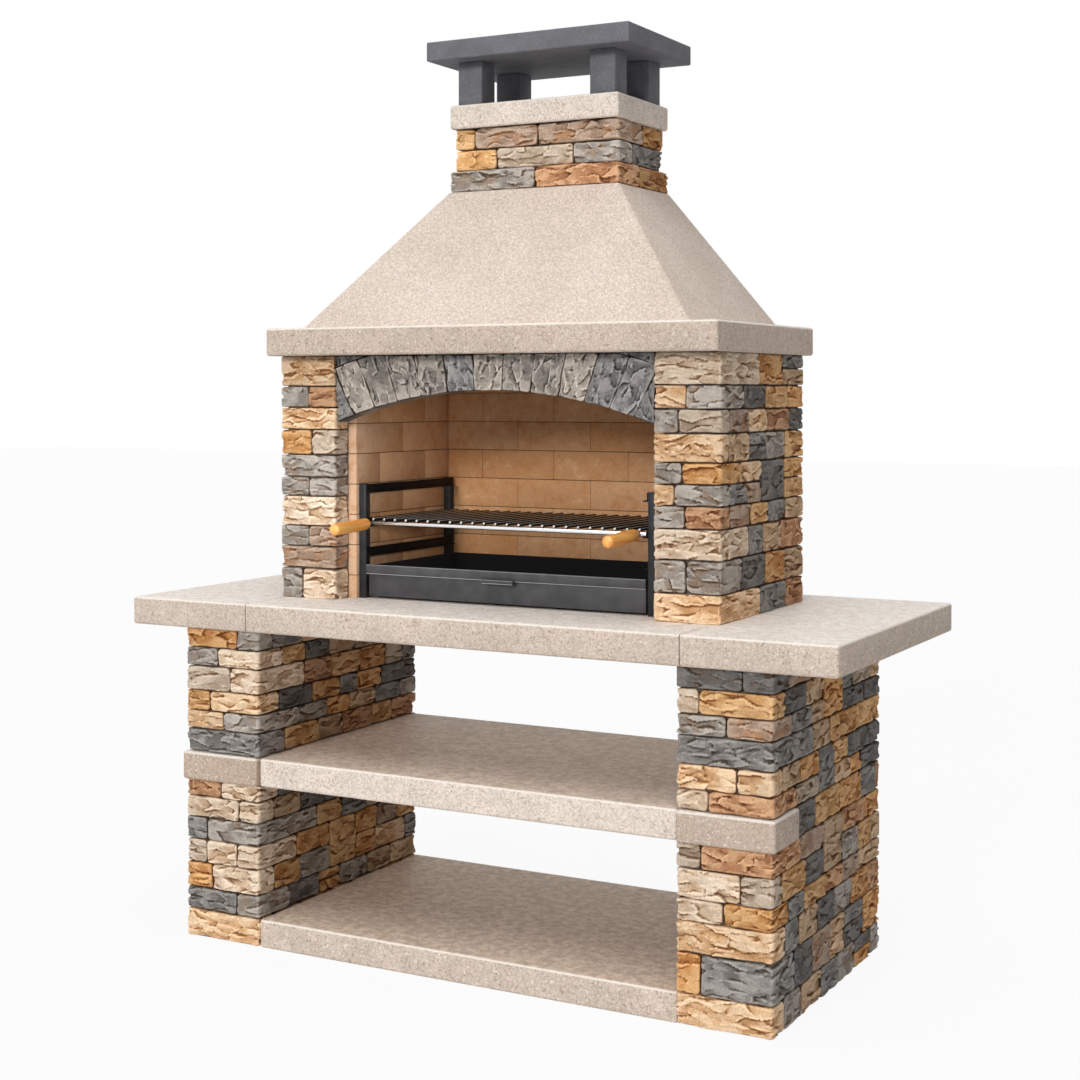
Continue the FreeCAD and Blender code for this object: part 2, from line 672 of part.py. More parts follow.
def firebricks():
    face, wall = place("lining_face"), place("pier_inner")
    depth = (place("lining_rear"), place("pier_back"))
    sides = brick_wall(place("lining_front"), place("pier_back"))
    joint = size("brick_joint")
    rear = brick_wall(-face + joint, face - joint)
    group("left_firebricks", [cuboid((-wall, -face), run, high) for run, high in sides])
    group("right_firebricks", [cuboid((face, wall), run, high) for run, high in sides])
    group("rear_firebricks", [cuboid(run, depth, high) for run, high in rear])


def arch():
    """The arch ring between the piers, cut level under the mantel, with its end pieces."""
    half_span = place("pier_inner")
    rise = size("arch_rise")
    radius = (half_span**2 + rise**2) / (2 * rise)
    crown = place("mantel_bottom") - size("arch_crown_drop")
    centre = crown - radius
    outer_radius = radius + size("arch_ring_depth")
    fan = crown - size("arch_fan")
    face = place("pier_front") + size("arch_setback")
    thickness = place("lining_front") - size("fit_gap") - face
    top = place("mantel_bottom")
    joint = size("arch_joint")
    deep = Vector(0, thickness, 0)
    floor = place("hearth")

    def disc(r):
        return Part.makeCylinder(r, thickness, Vector(0, face, centre), Vector(0, 1, 0))

    def slice_between(left, right):
        """The space between two lines that meet at the fan's centre; left and right at crown level."""
        reach = (top - fan) / (crown - fan)
        points = [Vector(left, face, crown), Vector(left * reach, face, top)]
        points += [Vector(right * reach, face, top), Vector(right, face, crown)]
        low = (floor - fan) / (crown - fan)
        points += [Vector(right * low, face, floor), Vector(left * low, face, floor)]
        return Part.Face(Part.makePolygon(points + points[:1])).extrude(deep)

    edge = half_span - joint
    field = cuboid((-edge, edge), (face, face + thickness), (floor, top))
    ring = field.cut(disc(radius)).common(disc(outer_radius))
    above = field.cut(disc(outer_radius + joint))

    stones = count("voussoir_count")
    last = half_span - size("arch_end")
    last_level = centre + math.sqrt(radius**2 - last**2)
    widest = last * (crown - fan) / (last_level - fan)
    spans = shared_out(-widest, widest, [1] * stones, joint)
    voussoirs = [ring.common(slice_between(*span)) for span in spans]
    outside = 2 * half_span
    springers = [
        ring.common(slice_between(-outside, -widest - joint)),
        ring.common(slice_between(widest + joint, outside)),
    ]
    group("arch_voussoirs", [stone.Solids[0] for stone in voussoirs])
    group("arch_springers", [stone.Solids[0] for stone in springers])
    group("arch_spandrels", above.Solids)


def pedestals():
    core_x = ("Places.pedestal_inner + Sizes.veneer", "Places.pedestal_outer - Sizes.veneer")
    core_y = ("Places.pedestal_front + Sizes.veneer", "Places.pedestal_back - Sizes.veneer")
    bearer_x = ("Places.pedestal_inner", "Places.bearer_outer")
    bearer_y = ("Places.bearer_front", "Places.bearer_back")
    bearer_z = ("Places.middle_shelf_bottom", "Places.middle_shelf_top")
    for side, turn in (("left", mirrored), ("right", tuple)):
        core = block(f"{side}_core_block", turn(core_x), core_y, ("0", "Places.worktop_bottom"))
        pocket = block(f"{side}_core_pocket", turn(bearer_x), bearer_y, bearer_z)
        subpart(cut(f"{side}_pedestal_core", core, pocket))
        subpart(slab(f"{side}_bearer_block", turn(bearer_x), bearer_y, bearer_z, "Sizes.slab_arris"))
    pedestal_stones("left", LEFT_PEDESTAL_UPPER, LEFT_PEDESTAL_LOWER)
    pedestal_stones("right", RIGHT_PEDESTAL_UPPER, RIGHT_PEDESTAL_LOWER)


def shelves():
    x = ("-Places.shelf_end", "Places.shelf_end")
    y = ("Places.shelf_front", "Places.shelf_back")
    subpart(slab("bottom_shelf", x, y, ("0", "Sizes.shelf_thickness"), "Sizes.slab_arris"))
    level = ("Places.middle_shelf_bottom", "Places.middle_shelf_top")
    shelf = subpart(slab("middle_shelf", x, y, level, "Sizes.slab_arris"))
    # Behind the bearer blocks the shelf runs in between the pedestal stones, up to the cores.
    ears = rectangle(
        shelf,
        "middle_shelf_ears",
        "Places.shelf_end - Places.pedestal_inner - Sizes.veneer",
        "Places.bearer_back + Sizes.fit_gap - Places.shelf_front",
        "2 * (Places.pedestal_inner + Sizes.veneer)",
        "Places.pedestal_back - Sizes.veneer - Places.bearer_back - 2 * Sizes.fit_gap",
    )
    pad = shelf.newObject("PartDesign::Pad", "middle_shelf_ends")
    pad.Profile = ears
    bind(pad, Length="Sizes.shelf_thickness")


def worktop():
    y = ("Places.front_edge", "-Places.front_edge")
    z = ("Places.worktop_bottom", "Places.hearth")
    wing = ("Places.worktop_joint", "Places.worktop_end")
    centre = ("-Places.worktop_joint + Sizes.fit_gap", "Places.worktop_joint - Sizes.fit_gap")
    subpart(slab("worktop_left", mirrored(wing), y, z, "Sizes.slab_arris"))
    subpart(slab("worktop_centre", centre, y, z, "Sizes.slab_arris"))
    subpart(slab("worktop_right", wing, y, z, "Sizes.slab_arris"))


def firebox():
    z = ("Places.hearth", "Places.mantel_bottom")
    core_x = ("Places.pier_inner", "Places.pier_outer - Sizes.veneer")
    core_y = ("Places.pier_front + Sizes.veneer", "Places.pier_back")
    return_x = ("Places.pier_inner", "Places.pier_inner + Sizes.veneer")
    return_y = ("Places.pier_front", "Places.lining_front")
    for side, turn in (("left", mirrored), ("right", tuple)):
        whole = block(f"{side}_pier_block", turn(core_x), core_y, z)
        rebate = block(f"{side}_pier_rebate", turn(return_x), return_y, z)
        subpart(cut(f"{side}_pier_core", whole, rebate))
    wall_x = ("-(Places.pier_outer - Sizes.veneer)", "Places.pier_outer - Sizes.veneer")
    wall_y = ("Places.pier_back", "Places.pier_back + Sizes.rear_wall_thickness")
    subpart(block("rear_wall", wall_x, wall_y, z))
    pier_stones("left", LEFT_PIER)
    pier_stones("right", RIGHT_PIER)
    firebricks()
    arch()
    mantel_x = ("-Places.mantel_end", "Places.mantel_end")
    mantel_y = ("Places.mantel_front", "Places.mantel_back")
    mantel_z = ("Places.mantel_bottom", "Places.mantel_top")
    mantel = subpart(slab("mantel_slab", mantel_x, mantel_y, mantel_z, "Sizes.slab_arris"))
    smoke_x = ("-Places.lining_face", "Places.lining_face")
    smoke_y = ("Places.smoke_front", "Places.lining_rear")
    opening(mantel, smoke_x, smoke_y, (mantel_x[0], mantel_y[0]))


def frustum(name, foot_x, foot_y, head_x, head_y, z):
    """An upright tapering block. A wedge tapers along its own Y, so it is turned to stand up."""
    thing = doc.addObject("Part::Wedge", name)
    thing.Placement = FreeCAD.Placement(Vector(), FreeCAD.Rotation(Vector(1, 0, 0), 90))
    bind(
        thing,
        Xmin=foot_x[0],
        Xmax=foot_x[1],
        Zmin=f"-({foot_y[1]})",
        Zmax=f"-({foot_y[0]})",
        X2min=head_x[0],
        X2max=head_x[1],
        Z2min=f"-({head_y[1]})",
        Z2max=f"-({head_y[0]})",
        Ymin="0",
        Ymax=f"({z[1]}) - ({z[0]})",
        Placement__Base__z=z[0],
    )
    return thing


def hood():
    z = ("Places.mantel_top", "Places.hood_top")
    foot_x = ("-Places.hood_end", "Places.hood_end")
    foot_y = ("Places.hood_front", "Places.hood_back")
    head_x = (
        "-Places.chimney_end - Sizes.chimney_foot_side",
        "Places.chimney_end + Sizes.chimney_foot_side",
    )
    head_y = (
        "Places.chimney_front - Sizes.chimney_foot_depth",
        "Places.chimney_back + Sizes.chimney_foot_depth",
    )
    inner_x = ("-Places.hood_end + Sizes.hood_wall", "Places.hood_end - Sizes.hood_wall")
    inner_y = ("Places.hood_front + Sizes.hood_wall", "Places.hood_back - Sizes.hood_wall")
    flue_x = ("-Places.flue_end", "Places.flue_end")
    flue_y = ("Places.flue_front", "Places.flue_back")
    outside = frustum("hood_outside", foot_x, foot_y, head_x, head_y, z)
    inside = frustum("hood_inside", inner_x, inner_y, flue_x, flue_y, z)
    subpart(cut("hood", outside, inside))


def chimney():
    z = ("Places.hood_top", "Places.cap_bottom")
    core_x = ("-Places.chimney_end + Sizes.veneer", "Places.chimney_end - Sizes.veneer")
    core_y = ("Places.chimney_front + Sizes.veneer", "Places.chimney_back - Sizes.veneer")
    flue_x = ("-Places.flue_end", "Places.flue_end")
    flue_y = ("Places.flue_front", "Places.flue_back")
    whole = block("flue_block_outside", core_x, core_y, z)
    flue = block("flue_block_inside", flue_x, flue_y, z)
    subpart(cut("chimney_flue_block", whole, flue))
    chimney_stones()
    cap_x = ("-Places.cap_end", "Places.cap_end")
    cap_y = ("Places.cap_front", "Places.cap_back")
    cap_z = ("Places.cap_bottom", "Places.cap_top")
    cap = subpart(slab("chimney_cap", cap_x, cap_y, cap_z, "Sizes.slab_arris"))
    opening(cap, flue_x, flue_y, (cap_x[0], cap_y[0]))
    post_z = ("Places.cap_top", "Places.cowl_bottom")
    post_x = ("Places.cap_end - Sizes.post_inset - Sizes.post_width", "Places.cap_end - Sizes.post_inset")
    front = "Places.cap_front + Sizes.post_inset"
    back = "Places.cap_back - Sizes.post_inset"
    rows = ((front, f"{front} + Sizes.post_depth"), (f"{back} - Sizes.post_depth", back))
    posts = []
    for x in (mirrored(post_x), post_x):
        for y in rows:
            posts.append(block(f"cowl_post_{len(posts) + 1}", x, y, post_z))
    subpart(several("cowl_posts", posts))
    cowl_z = ("Places.cowl_bottom", "Places.cowl_bottom + Sizes.cowl_thickness")
    cowl_x = ("-Places.cowl_end", "Places.cowl_end")
    cowl_y = ("Places.cowl_front", "Places.cowl_back")
    subpart(slab("cowl_slab", cowl_x, cowl_y, cowl_z, "Sizes.cowl_arris"))


def racks():
    """The iron stands at both sides of the firebox, with three rails each for the grill."""
    post_x = ("Places.rack_inner", "Places.rack_outer")
    front = ("Places.rack_front", "Places.rack_front + Sizes.rack_post")
    rear = ("Places.rack_back - Sizes.rack_post", "Places.rack_back")
    rail_x = ("Places.rack_inner - Sizes.rail_flange", "Places.rack_inner")
    hollow_x = ("Places.rack_inner - Sizes.rail_flange", "Places.rack_inner - Sizes.rail_thickness")
    rail_y = ("Places.rack_front", "Places.rail_back")
    levels = ("low_rail_level", "middle_rail_level", "top_rail_level")
    for side, turn in (("left", mirrored), ("right", tuple)):
        posts = [
            block(f"{side}_rack_{name}_post", turn(post_x), y, ("Places.hearth", "Places.rack_top"))
            for name, y in (("front", front), ("rear", rear))
        ]
        subpart(several(f"{side}_rack_posts", posts))
        rails = []
        for level in levels:
            foot = f"Places.hearth + Sizes.{level}"
            name = f"{side}_{level.replace('_level', '')}"
            head = f"{foot} + Sizes.rail_height"
            bar = block(f"{name}_bar", turn(rail_x), rail_y, (foot, head))
            flange_top = f"{foot} + Sizes.rail_thickness"
            hollow = block(f"{name}_hollow", turn(hollow_x), rail_y, (flange_top, head))
            rails.append(cut(name, bar, hollow))
        subpart(several(f"{side}_rack_rails", rails))


def handle(name, x):
    """A turned wooden grip with rounded ends, bored from behind for its stem."""
    body = doc.addObject("PartDesign::Body", name)
    grip = body.newObject("PartDesign::AdditiveCylinder", name + "_grip")
    bind(grip, Radius="Sizes.handle_diameter / 2", Height="Sizes.handle_length")
    doc.recompute()
    ends = body.newObject("PartDesign::Fillet", name + "_ends")
    ends.Base = (grip, ["Edge1"])
    ends.UseAllEdges = True
    bind(ends, Radius="Sizes.handle_round")
    doc.recompute()
    bore = body.newObject("PartDesign::SubtractiveCylinder", name + "_bore")
    bind(
        bore,
        Radius="Sizes.stem_diameter / 2 + Sizes.handle_bore_gap",
        Height="Sizes.handle_length - Sizes.handle_wall",
    )
    # The body's own Z runs forward along the handle.
    body.Placement = FreeCAD.Placement(Vector(), FreeCAD.Rotation(Vector(1, 0, 0), 90))
    bind(
        body,
        Placement__Base__x=x,
        Placement__Base__y="Places.handle_back",
        Placement__Base__z="Places.rod_level",
    )
    return subpart(body)


def ferrule(name, x):
    """A tapered metal collar between a stem and its handle."""
    shell = doc.addObject("Part::Cone", name + "_outside")
    shell.Placement = FreeCAD.Placement(Vector(), FreeCAD.Rotation(Vector(1, 0, 0), -90))
    bind(
        shell,
        Radius1="Sizes.ferrule_diameter / 2",
        Radius2="Sizes.ferrule_tip / 2",
        Height="Sizes.ferrule_length",
        Placement__Base__x=x,
        Placement__Base__y="Places.handle_back",
        Placement__Base__z="Places.rod_level",
    )
    bore = rod(
        name + "_bore",
        "Sizes.stem_diameter + 2 * Sizes.weld_gap",
        "Sizes.ferrule_length",
        x,
        "Places.handle_back",
        "Places.rod_level",
        "Y",
    )
    return cut(name, shell, bore)


def grill():
    width = "2 * Places.rod_end"
    for end in ("front", "rear"):
        line = f"Places.{end}_rod_line"
        name = f"grill_{end}_rod"
        subpart(rod(name, "Sizes.cross_rod", width, "-Places.rod_end", line, "Places.rod_level", "X"))
    first = "-Places.rod_end + Sizes.grill_edge"
    step = "2 * (Places.rod_end - Sizes.grill_edge) / (Sizes.grill_bar_count - 1)"
    level = "Places.rod_level + Sizes.cross_rod / 2 + Sizes.weld_gap + Sizes.grill_bar / 2"
    start = "Places.front_rod_line - Sizes.cross_rod / 2"
    length = "Places.rear_rod_line - Places.front_rod_line + Sizes.cross_rod"
    bars = []
    for number in range(count("grill_bar_count")):
        x = f"{first} + {number} * {step}"
        bars.append(rod(f"grill_bar_{number + 1}", "Sizes.grill_bar", length, x, start, level, "Y"))
    subpart(several("grill_bars", bars))
    stems, ferrules = [], []
    stem_front = "Places.handle_back - Sizes.handle_length + Sizes.handle_wall + Sizes.handle_bore_gap"
    for side, x in (("left", "-Places.stem_line"), ("right", "Places.stem_line")):
        reach = f"Places.stem_back - ({stem_front})"
        level = "Places.rod_level"
        stems.append(rod(f"{side}_stem", "Sizes.stem_diameter", reach, x, stem_front, level, "Y"))
        ferrules.append(ferrule(f"{side}_ferrule", x))
        handle(f"grill_{side}_handle", x)
    subpart(several("grill_handle_stems", stems))
    subpart(several("grill_handle_ferrules", ferrules))


def tray():
    """The charcoal tray: a folded pan on two runners, with a front rim and a finger pull."""
    x = ("-Places.tray_end", "Places.tray_end")
    y = ("Places.tray_front", "Places.tray_back")
    z = ("Places.tray_bottom", "Places.tray_top")
    inner_x = ("-Places.tray_end + Sizes.tray_sheet", "Places.tray_end - Sizes.tray_sheet")
    inner_y = ("Places.tray_front + Sizes.tray_sheet", "Places.tray_back - Sizes.tray_sheet")
    inner_z = ("Places.tray_bottom + Sizes.tray_sheet", "Places.tray_top")
    outside = block("tray_outside", x, y, z)
    inside = block("tray_inside", inner_x, inner_y, inner_z)
    subpart(cut("tray_pan", outside, inside))
    runner_outer = "Places.tray_end - Sizes.runner_inset"
    runner = (f"{runner_outer} - Sizes.runner_width", runner_outer)
    runner_z = ("Places.runner_bottom", "Places.tray_bottom")
    runner_y = ("Places.tray_front + Sizes.runner_setback", "Places.tray_back")
    runners = [
        block("left_runner", mirrored(runner), runner_y, runner_z),
        block("right_runner", runner, runner_y, runner_z),
    ]
    subpart(several("tray_runners", runners))
    rim_x = ("-Places.tray_end - Sizes.rim_overhang", "Places.tray_end + Sizes.rim_overhang")
    rim_y = ("Places.rim_front", "Places.tray_front")
    subpart(block("tray_front_rim", rim_x, rim_y, ("Places.rim_bottom", "Places.rim_top")))
    pull_x = ("-Sizes.pull_width / 2", "Sizes.pull_width / 2")
    pull_y = ("Places.rim_front - Sizes.pull_reach", "Places.rim_front")
    pull_top = "Places.rim_bottom + Sizes.pull_sheet"
    pull_z = (f"{pull_top} - Sizes.pull_lip", pull_top)
    behind_y = (f"{pull_y[0]} + Sizes.pull_sheet", "Places.rim_front")
    behind_z = (pull_z[0], "Places.rim_bottom")
    whole = block("pull_outside", pull_x, pull_y, pull_z)
    behind = block("pull_behind", pull_x, behind_y, behind_z)
    subpart(cut("tray_pull", whole, behind))


def check():
    """Stops before anything is written if an object failed or a shape is not sound."""
    doc.recompute()
    for thing in doc.Objects:
        if {"Invalid", "Error"} & set(thing.State):
            raise RuntimeError(f"{thing.Name}: {thing.State}")
    for thing in subparts:
        if thing.Shape.isNull() or not thing.Shape.isValid() or not thing.Shape.Solids:
            raise RuntimeError(f"{thing.Label}: the shape is not sound")


def export():
    os.makedirs("parts", exist_ok=True)
    for thing in subparts:
        thing.Shape.exportStep(f"parts/{thing.Label}.step")
        print(f"{thing.Label}: {len(thing.Shape.Solids)} solids, {thing.Shape.Volume / 1e6:.3f} litres")


fill_sheets()
pedestals()
shelves()
worktop()
firebox()
hood()
chimney()
racks()
grill()
tray()
check()
export()
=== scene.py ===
"""Looks of the masonry barbecue: split-faced stones, cast slabs, firebricks, ironwork and wooden grips.

Everything is in metres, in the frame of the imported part: +Z up, the front faces -Y.
"""

import math
import random

import bmesh
import bpy
import numpy as np
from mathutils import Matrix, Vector


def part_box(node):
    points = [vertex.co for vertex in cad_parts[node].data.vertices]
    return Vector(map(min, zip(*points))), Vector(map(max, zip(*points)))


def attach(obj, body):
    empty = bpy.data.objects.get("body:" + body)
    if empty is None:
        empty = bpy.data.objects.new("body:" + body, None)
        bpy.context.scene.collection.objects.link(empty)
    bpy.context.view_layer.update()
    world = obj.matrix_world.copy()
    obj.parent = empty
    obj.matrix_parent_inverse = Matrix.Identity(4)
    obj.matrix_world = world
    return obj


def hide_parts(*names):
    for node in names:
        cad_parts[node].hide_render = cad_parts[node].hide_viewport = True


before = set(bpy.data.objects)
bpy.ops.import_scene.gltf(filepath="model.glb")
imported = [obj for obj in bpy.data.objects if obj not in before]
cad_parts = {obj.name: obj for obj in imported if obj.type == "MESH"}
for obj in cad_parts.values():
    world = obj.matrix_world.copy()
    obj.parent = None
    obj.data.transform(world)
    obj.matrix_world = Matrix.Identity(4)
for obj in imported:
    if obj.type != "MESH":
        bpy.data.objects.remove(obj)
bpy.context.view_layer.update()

# Lengths of the dressing
WELD = 0.0001  # points of a CAD node nearer than this are one corner
ON_WALL = 0.0005  # a corner this near a wall's plane lies on it
STONE_STEP = 0.0026  # spacing of the points on a stone's face
STONE_EDGE = (0.0038, 0.0058)  # rounding of the stones' edges, least and most
STONE_CORNER = 0.008  # rounding of a corner stone's upright edge
STONE_TURN = 0.010  # rounding of the four corners of a stone's face
STONE_CELL = (0.075, 0.042)  # width and height of the shallow hollows of a split face
STONE_DEPTH = 0.0036  # depth of those hollows
STONE_FLAKE = (0.066, 0.016)  # width and height of the flat flakes on them
STONE_LEAN = 0.24  # steepest slope of a flake
FLAKE_RANGE = (-0.0045, 0.0030)  # lowest and highest points of the flakes
STONE_WARP = 0.014  # how far the hollows and flakes are bent out of true
WARP_CELL = 0.03  # spacing of those bends, and of the waves in a face's outline
STONE_LIFT = 0.0034  # moves the split face out, so that its crests lie on the wall's plane
STONE_RANGE = (-0.0095, 0.0022)  # lowest and highest points of a face from the wall's plane
STONE_BACK = 0.0285  # from a stone's face to its back
BACK_INSET = 0.001  # a stone's back is this much lower than its front, above and below
CHIP_AREA = 0.0042  # face for each layer that has broken off
CHIP_DEPTH = (0.0016, 0.0042)  # depth of those, least and most
CHIP_STEP = 0.0024  # width of the step at a broken layer's edge
RIM_WIDTH = 0.0035  # half width of the pale rim around a stone's face, a painted highlight with wear
HEIGHT_SPAN = 0.010  # relief noted from 0 to 1
CAVITY_SPAN = 0.0044  # depth of creases and crests noted from 0 to 1
MORTAR_REACH = 0.017  # how far the cores' mortar comes forward in the joints
ARCH_EDGE = (0.0034, 0.0048)  # rounding of the arch stones' edges
ARCH_TURN = 0.006
ARCH_CELL = (0.050, 0.060)
ARCH_DEPTH = 0.0030
ARCH_FLAKE = (0.018, 0.036)
ARCH_LEAN = 0.32
ARCH_CHIP_AREA = 0.0060
ARCH_RETURN = 0.021  # behind their faces, where the dark of their joints ends
SPANDREL_TIP = 0.004  # the fillers beside the arch stop this far from their sharp tips
BRICK_EDGE = 0.0016  # chamfer of the firebricks
BRICK_GROW = 0.0009  # half of a brick joint that its pointing fills
SLAB_EDGE = 0.0065  # rounding of the worktop slabs
WORKTOP_PALE = 0.47  # how pale the worktop's sides are, 0 to 1
SLAB_GAP = 0.0008  # half of the open joint between them, at the front
HANDLE_ROUND = 0.0075  # rounding of the grips' ends
HANDLE_DROOP = 0.006  # how far the front ends of the grips hang down
HOOD_EDGE = 0.007
COWL_EDGE = 0.003
REAR_WALL_EDGE = 0.002
RACK_EDGE = 0.0009
TRAY_EDGE = 0.0008
RIM_EDGE = 0.0018  # rounding of the tray's rim and pull
FERRULE_EDGE = 0.0006

# Angles over which edges stay sharp, in degrees
STONE_SHARP = 55
ROUND_SHARP = 50  # rods and firebricks
PLAIN_SHARP = 40
GRIP_SHARP = 60

# The arch, as in the part
ARCH_RISE = 0.080
ARCH_CROWN_DROP = 0.087
ARCH_RING_DEPTH = 0.130
ARCH_END = 0.054
ARCH_FAN = 0.780
ARCH_JOINT = 0.0006
VOUSSOIR_COUNT = 11

# Colours of the facing stones: the main tone, the stain that clouds it and the patches on it; the stain
# colour, brightened, is also the painted highlight on crests and rims
STONE_TONES = {
    "h": ((222, 179, 134), (239, 207, 171), (190, 139, 89)),  # honey
    "H": ((212, 160, 104), (230, 187, 136), (174, 125, 72)),  # deep honey
    "b": ((216, 189, 160), (236, 215, 191), (186, 150, 114)),  # beige
    "t": ((190, 157, 122), (212, 182, 149), (152, 114, 80)),  # tan
    "w": ((186, 167, 146), (208, 190, 170), (158, 130, 102)),  # warm grey
    "g": ((146, 138, 130), (184, 175, 165), (160, 131, 103)),  # grey with a brown stain
    "s": ((128, 124, 120), (158, 153, 148), (104, 100, 97)),  # slate
    "d": ((101, 98, 95), (126, 122, 118), (118, 98, 82)),  # dark slate with a rust stain
    "r": ((178, 128, 90), (208, 163, 125), (138, 92, 60)),  # rust
    "o": ((203, 143, 84), (224, 176, 122), (160, 99, 51)),  # orange
    "n": ((158, 133, 113), (188, 164, 144), (196, 142, 96)),  # mauve brown with an orange stain
}
TONE_FAMILIES = ("dsds", "HthH", "wgtn", "roro")  # stones side by side come from different ones
FAMILY_SHARES = (0.23, 0.31, 0.23, 0.23)
PAINTED_FACE_SHADES = {"front": 0.95, "outer": 0.86, "inner": 0.72, "rear": 0.90}  # painted shade: the stones of the sides are darker than those of the front, the inner side's darkest

# Front stones as they are seen, course by course from the top, from left to right
FRONT_STONES = {
    "left_pedestal_front_stones": "og gb wb Hh hg s rb bb sg wbb ob sg h",
    "right_pedestal_front_stones": "dd bH gn s hh br wr bw bo h os h",
    "left_pier_front_stones": "h gr h ow g gg b gn n gb",
    "right_pier_front_stones": "b hg gw h go hg gr b gg h",
}
CHIMNEY_STONES = "Hnn Hwg gr"
# Painted light and shade of the chimney: its front stones are lightened, the stones behind its front
# darkened
CHIMNEY_FRONT_PAINTED_LIGHT = 1.12
CHIMNEY_SIDE_PAINTED_SHADE = 0.78
ARCH_STONES = "lmmmglmmlgg"  # from left to right
ARCH_TONES = {
    "m": ((136, 129, 121), (170, 161, 152), (112, 107, 103)),  # middle grey
    "g": ((116, 114, 113), (152, 148, 145), (96, 96, 97)),  # slate grey
    "l": ((162, 152, 142), (190, 179, 168), (138, 128, 118)),  # light grey
    "d": ((108, 106, 106), (138, 134, 131), (90, 89, 92)),  # dark grey of the end stones and fillers
}


def linear(colour):
    """A linear colour from one written as the screen shows it, 0 to 255."""
    parts = [part / 255 for part in colour]
    return tuple(part / 12.92 if part <= 0.04045 else ((part + 0.055) / 1.055) ** 2.4 for part in parts)


def dressed(shape, node, body, material, sharp_angle):
    """A bmesh as a smooth piece in place of a CAD node, with edges over an angle kept sharp."""
    name = node + "_dressed"
    bmesh.ops.recalc_face_normals(shape, faces=shape.faces)
    mesh = bpy.data.meshes.new(name)
    shape.to_mesh(mesh)
    shape.free()
    mesh.shade_smooth()
    mesh.set_sharp_from_angle(angle=math.radians(sharp_angle))
    mesh.materials.append(material)
    obj = bpy.data.objects.new(name, mesh)
    bpy.context.scene.collection.objects.link(obj)
    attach(obj, body)
    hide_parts(node)
    return obj


def welded(node):
    """A CAD node as a bmesh, its corners joined and its flat faces whole."""
    shape = bmesh.new()
    shape.from_mesh(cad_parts[node].data)
    bmesh.ops.remove_doubles(shape, verts=shape.verts, dist=WELD)
    bmesh.ops.dissolve_limit(shape, angle_limit=math.radians(0.5), verts=shape.verts, edges=shape.edges)
    return shape


def solids(node):
    """The corner points of each solid of a CAD node."""
    shape = welded(node)
    left = set(shape.verts)
    found = []
    while left:
        start = left.pop()
        island, front = [start], [start]
        while front:
            for edge in front.pop().link_edges:
                for vert in edge.verts:
                    if vert in left:
                        left.remove(vert)
                        island.append(vert)
                        front.append(vert)
        found.append(np.array([vert.co[:] for vert in island]))
    shape.free()
    return found


# Stones


def stations(length, step, edge):
    """Points along a stone's length, closer together where its edges are rounded."""
    inner = length - 2 * edge
    near = [0.0, 0.2 * edge, 0.55 * edge, edge]
    if inner <= step:
        return [share * length for share in (0.0, 0.1, 0.3, 0.5, 0.7, 0.9, 1.0)]
    count = max(1, round(inner / step))
    middle = [edge + inner * k / count for k in range(1, count)]
    return near + middle + [length - at for at in reversed(near)]


def draws(seed):
    """A random generator that a name always starts in the same way."""
    return np.random.default_rng([ord(letter) for letter in seed])


def noise(rng, along, up, wide, tall):
    """Random heights between -0.5 and 0.5 at the corners of cells, with straight slopes between them."""
    s = along / wide + rng.uniform(0, 1)
    z = up / tall + rng.uniform(0, 1)
    s -= np.floor(s.min())
    z -= np.floor(z.min())
    column, row = s.astype(int), z.astype(int)
    corners = rng.uniform(-0.5, 0.5, (column.max() + 2, row.max() + 2))
    across, above = s - column, z - row
    lower = corners[column, row] * (1 - across) + corners[column + 1, row] * across
    upper = corners[column, row + 1] * (1 - across) + corners[column + 1, row + 1] * across
    return lower * (1 - above) + upper * above


def scoops(rng, along, up, cell, depth):
    """Shell-shaped hollows, as splitting leaves them, that meet in sharp ridges."""
    wide, tall = cell
    length, height = along.max(), up.max()
    count = max(2, round(1.3 * (length + wide) * (height + tall) / (wide * tall)))
    centres_along = rng.uniform(-wide / 2, length + wide / 2, count)
    centres_up = rng.uniform(-tall / 2, height + tall / 2, count)
    bottoms = rng.uniform(-1.0, -0.35, count)
    leans = rng.uniform(-0.7, 0.7, (2, count))
    lowest = np.full(along.shape, np.inf)
    for k in range(count):
        across = (along - centres_along[k]) / wide
        above = (up - centres_up[k]) / tall
        hollow = bottoms[k] + leans[0, k] * across + leans[1, k] * above + 1.7 * (across**2 + above**2)
        lowest = np.minimum(lowest, hollow)
    return depth * np.clip(lowest, -1.3, 0.15)


def flakes(rng, along, up, cell, lean):
    """Flat patches, each with a slope of its own, that meet in low steps."""
    wide, tall = cell
    length, height = along.max(), up.max()
    count = max(3, round(1.2 * (length + wide) * (height + tall) / (wide * tall)))
    centres_along = rng.uniform(-wide / 2, length + wide / 2, count)
    centres_up = rng.uniform(-tall / 2, height + tall / 2, count)
    away = [
        ((along - centres_along[k]) / wide) ** 2 + ((up - centres_up[k]) / tall) ** 2
        for k in range(count)
    ]
    nearest = np.argmin(away, axis=0)
    slopes = rng.uniform(-lean, lean, (2, count))
    rise = slopes[0, nearest] * (along - centres_along[nearest])
    rise += slopes[1, nearest] * (up - centres_up[nearest])
    return np.clip(rise, *FLAKE_RANGE)


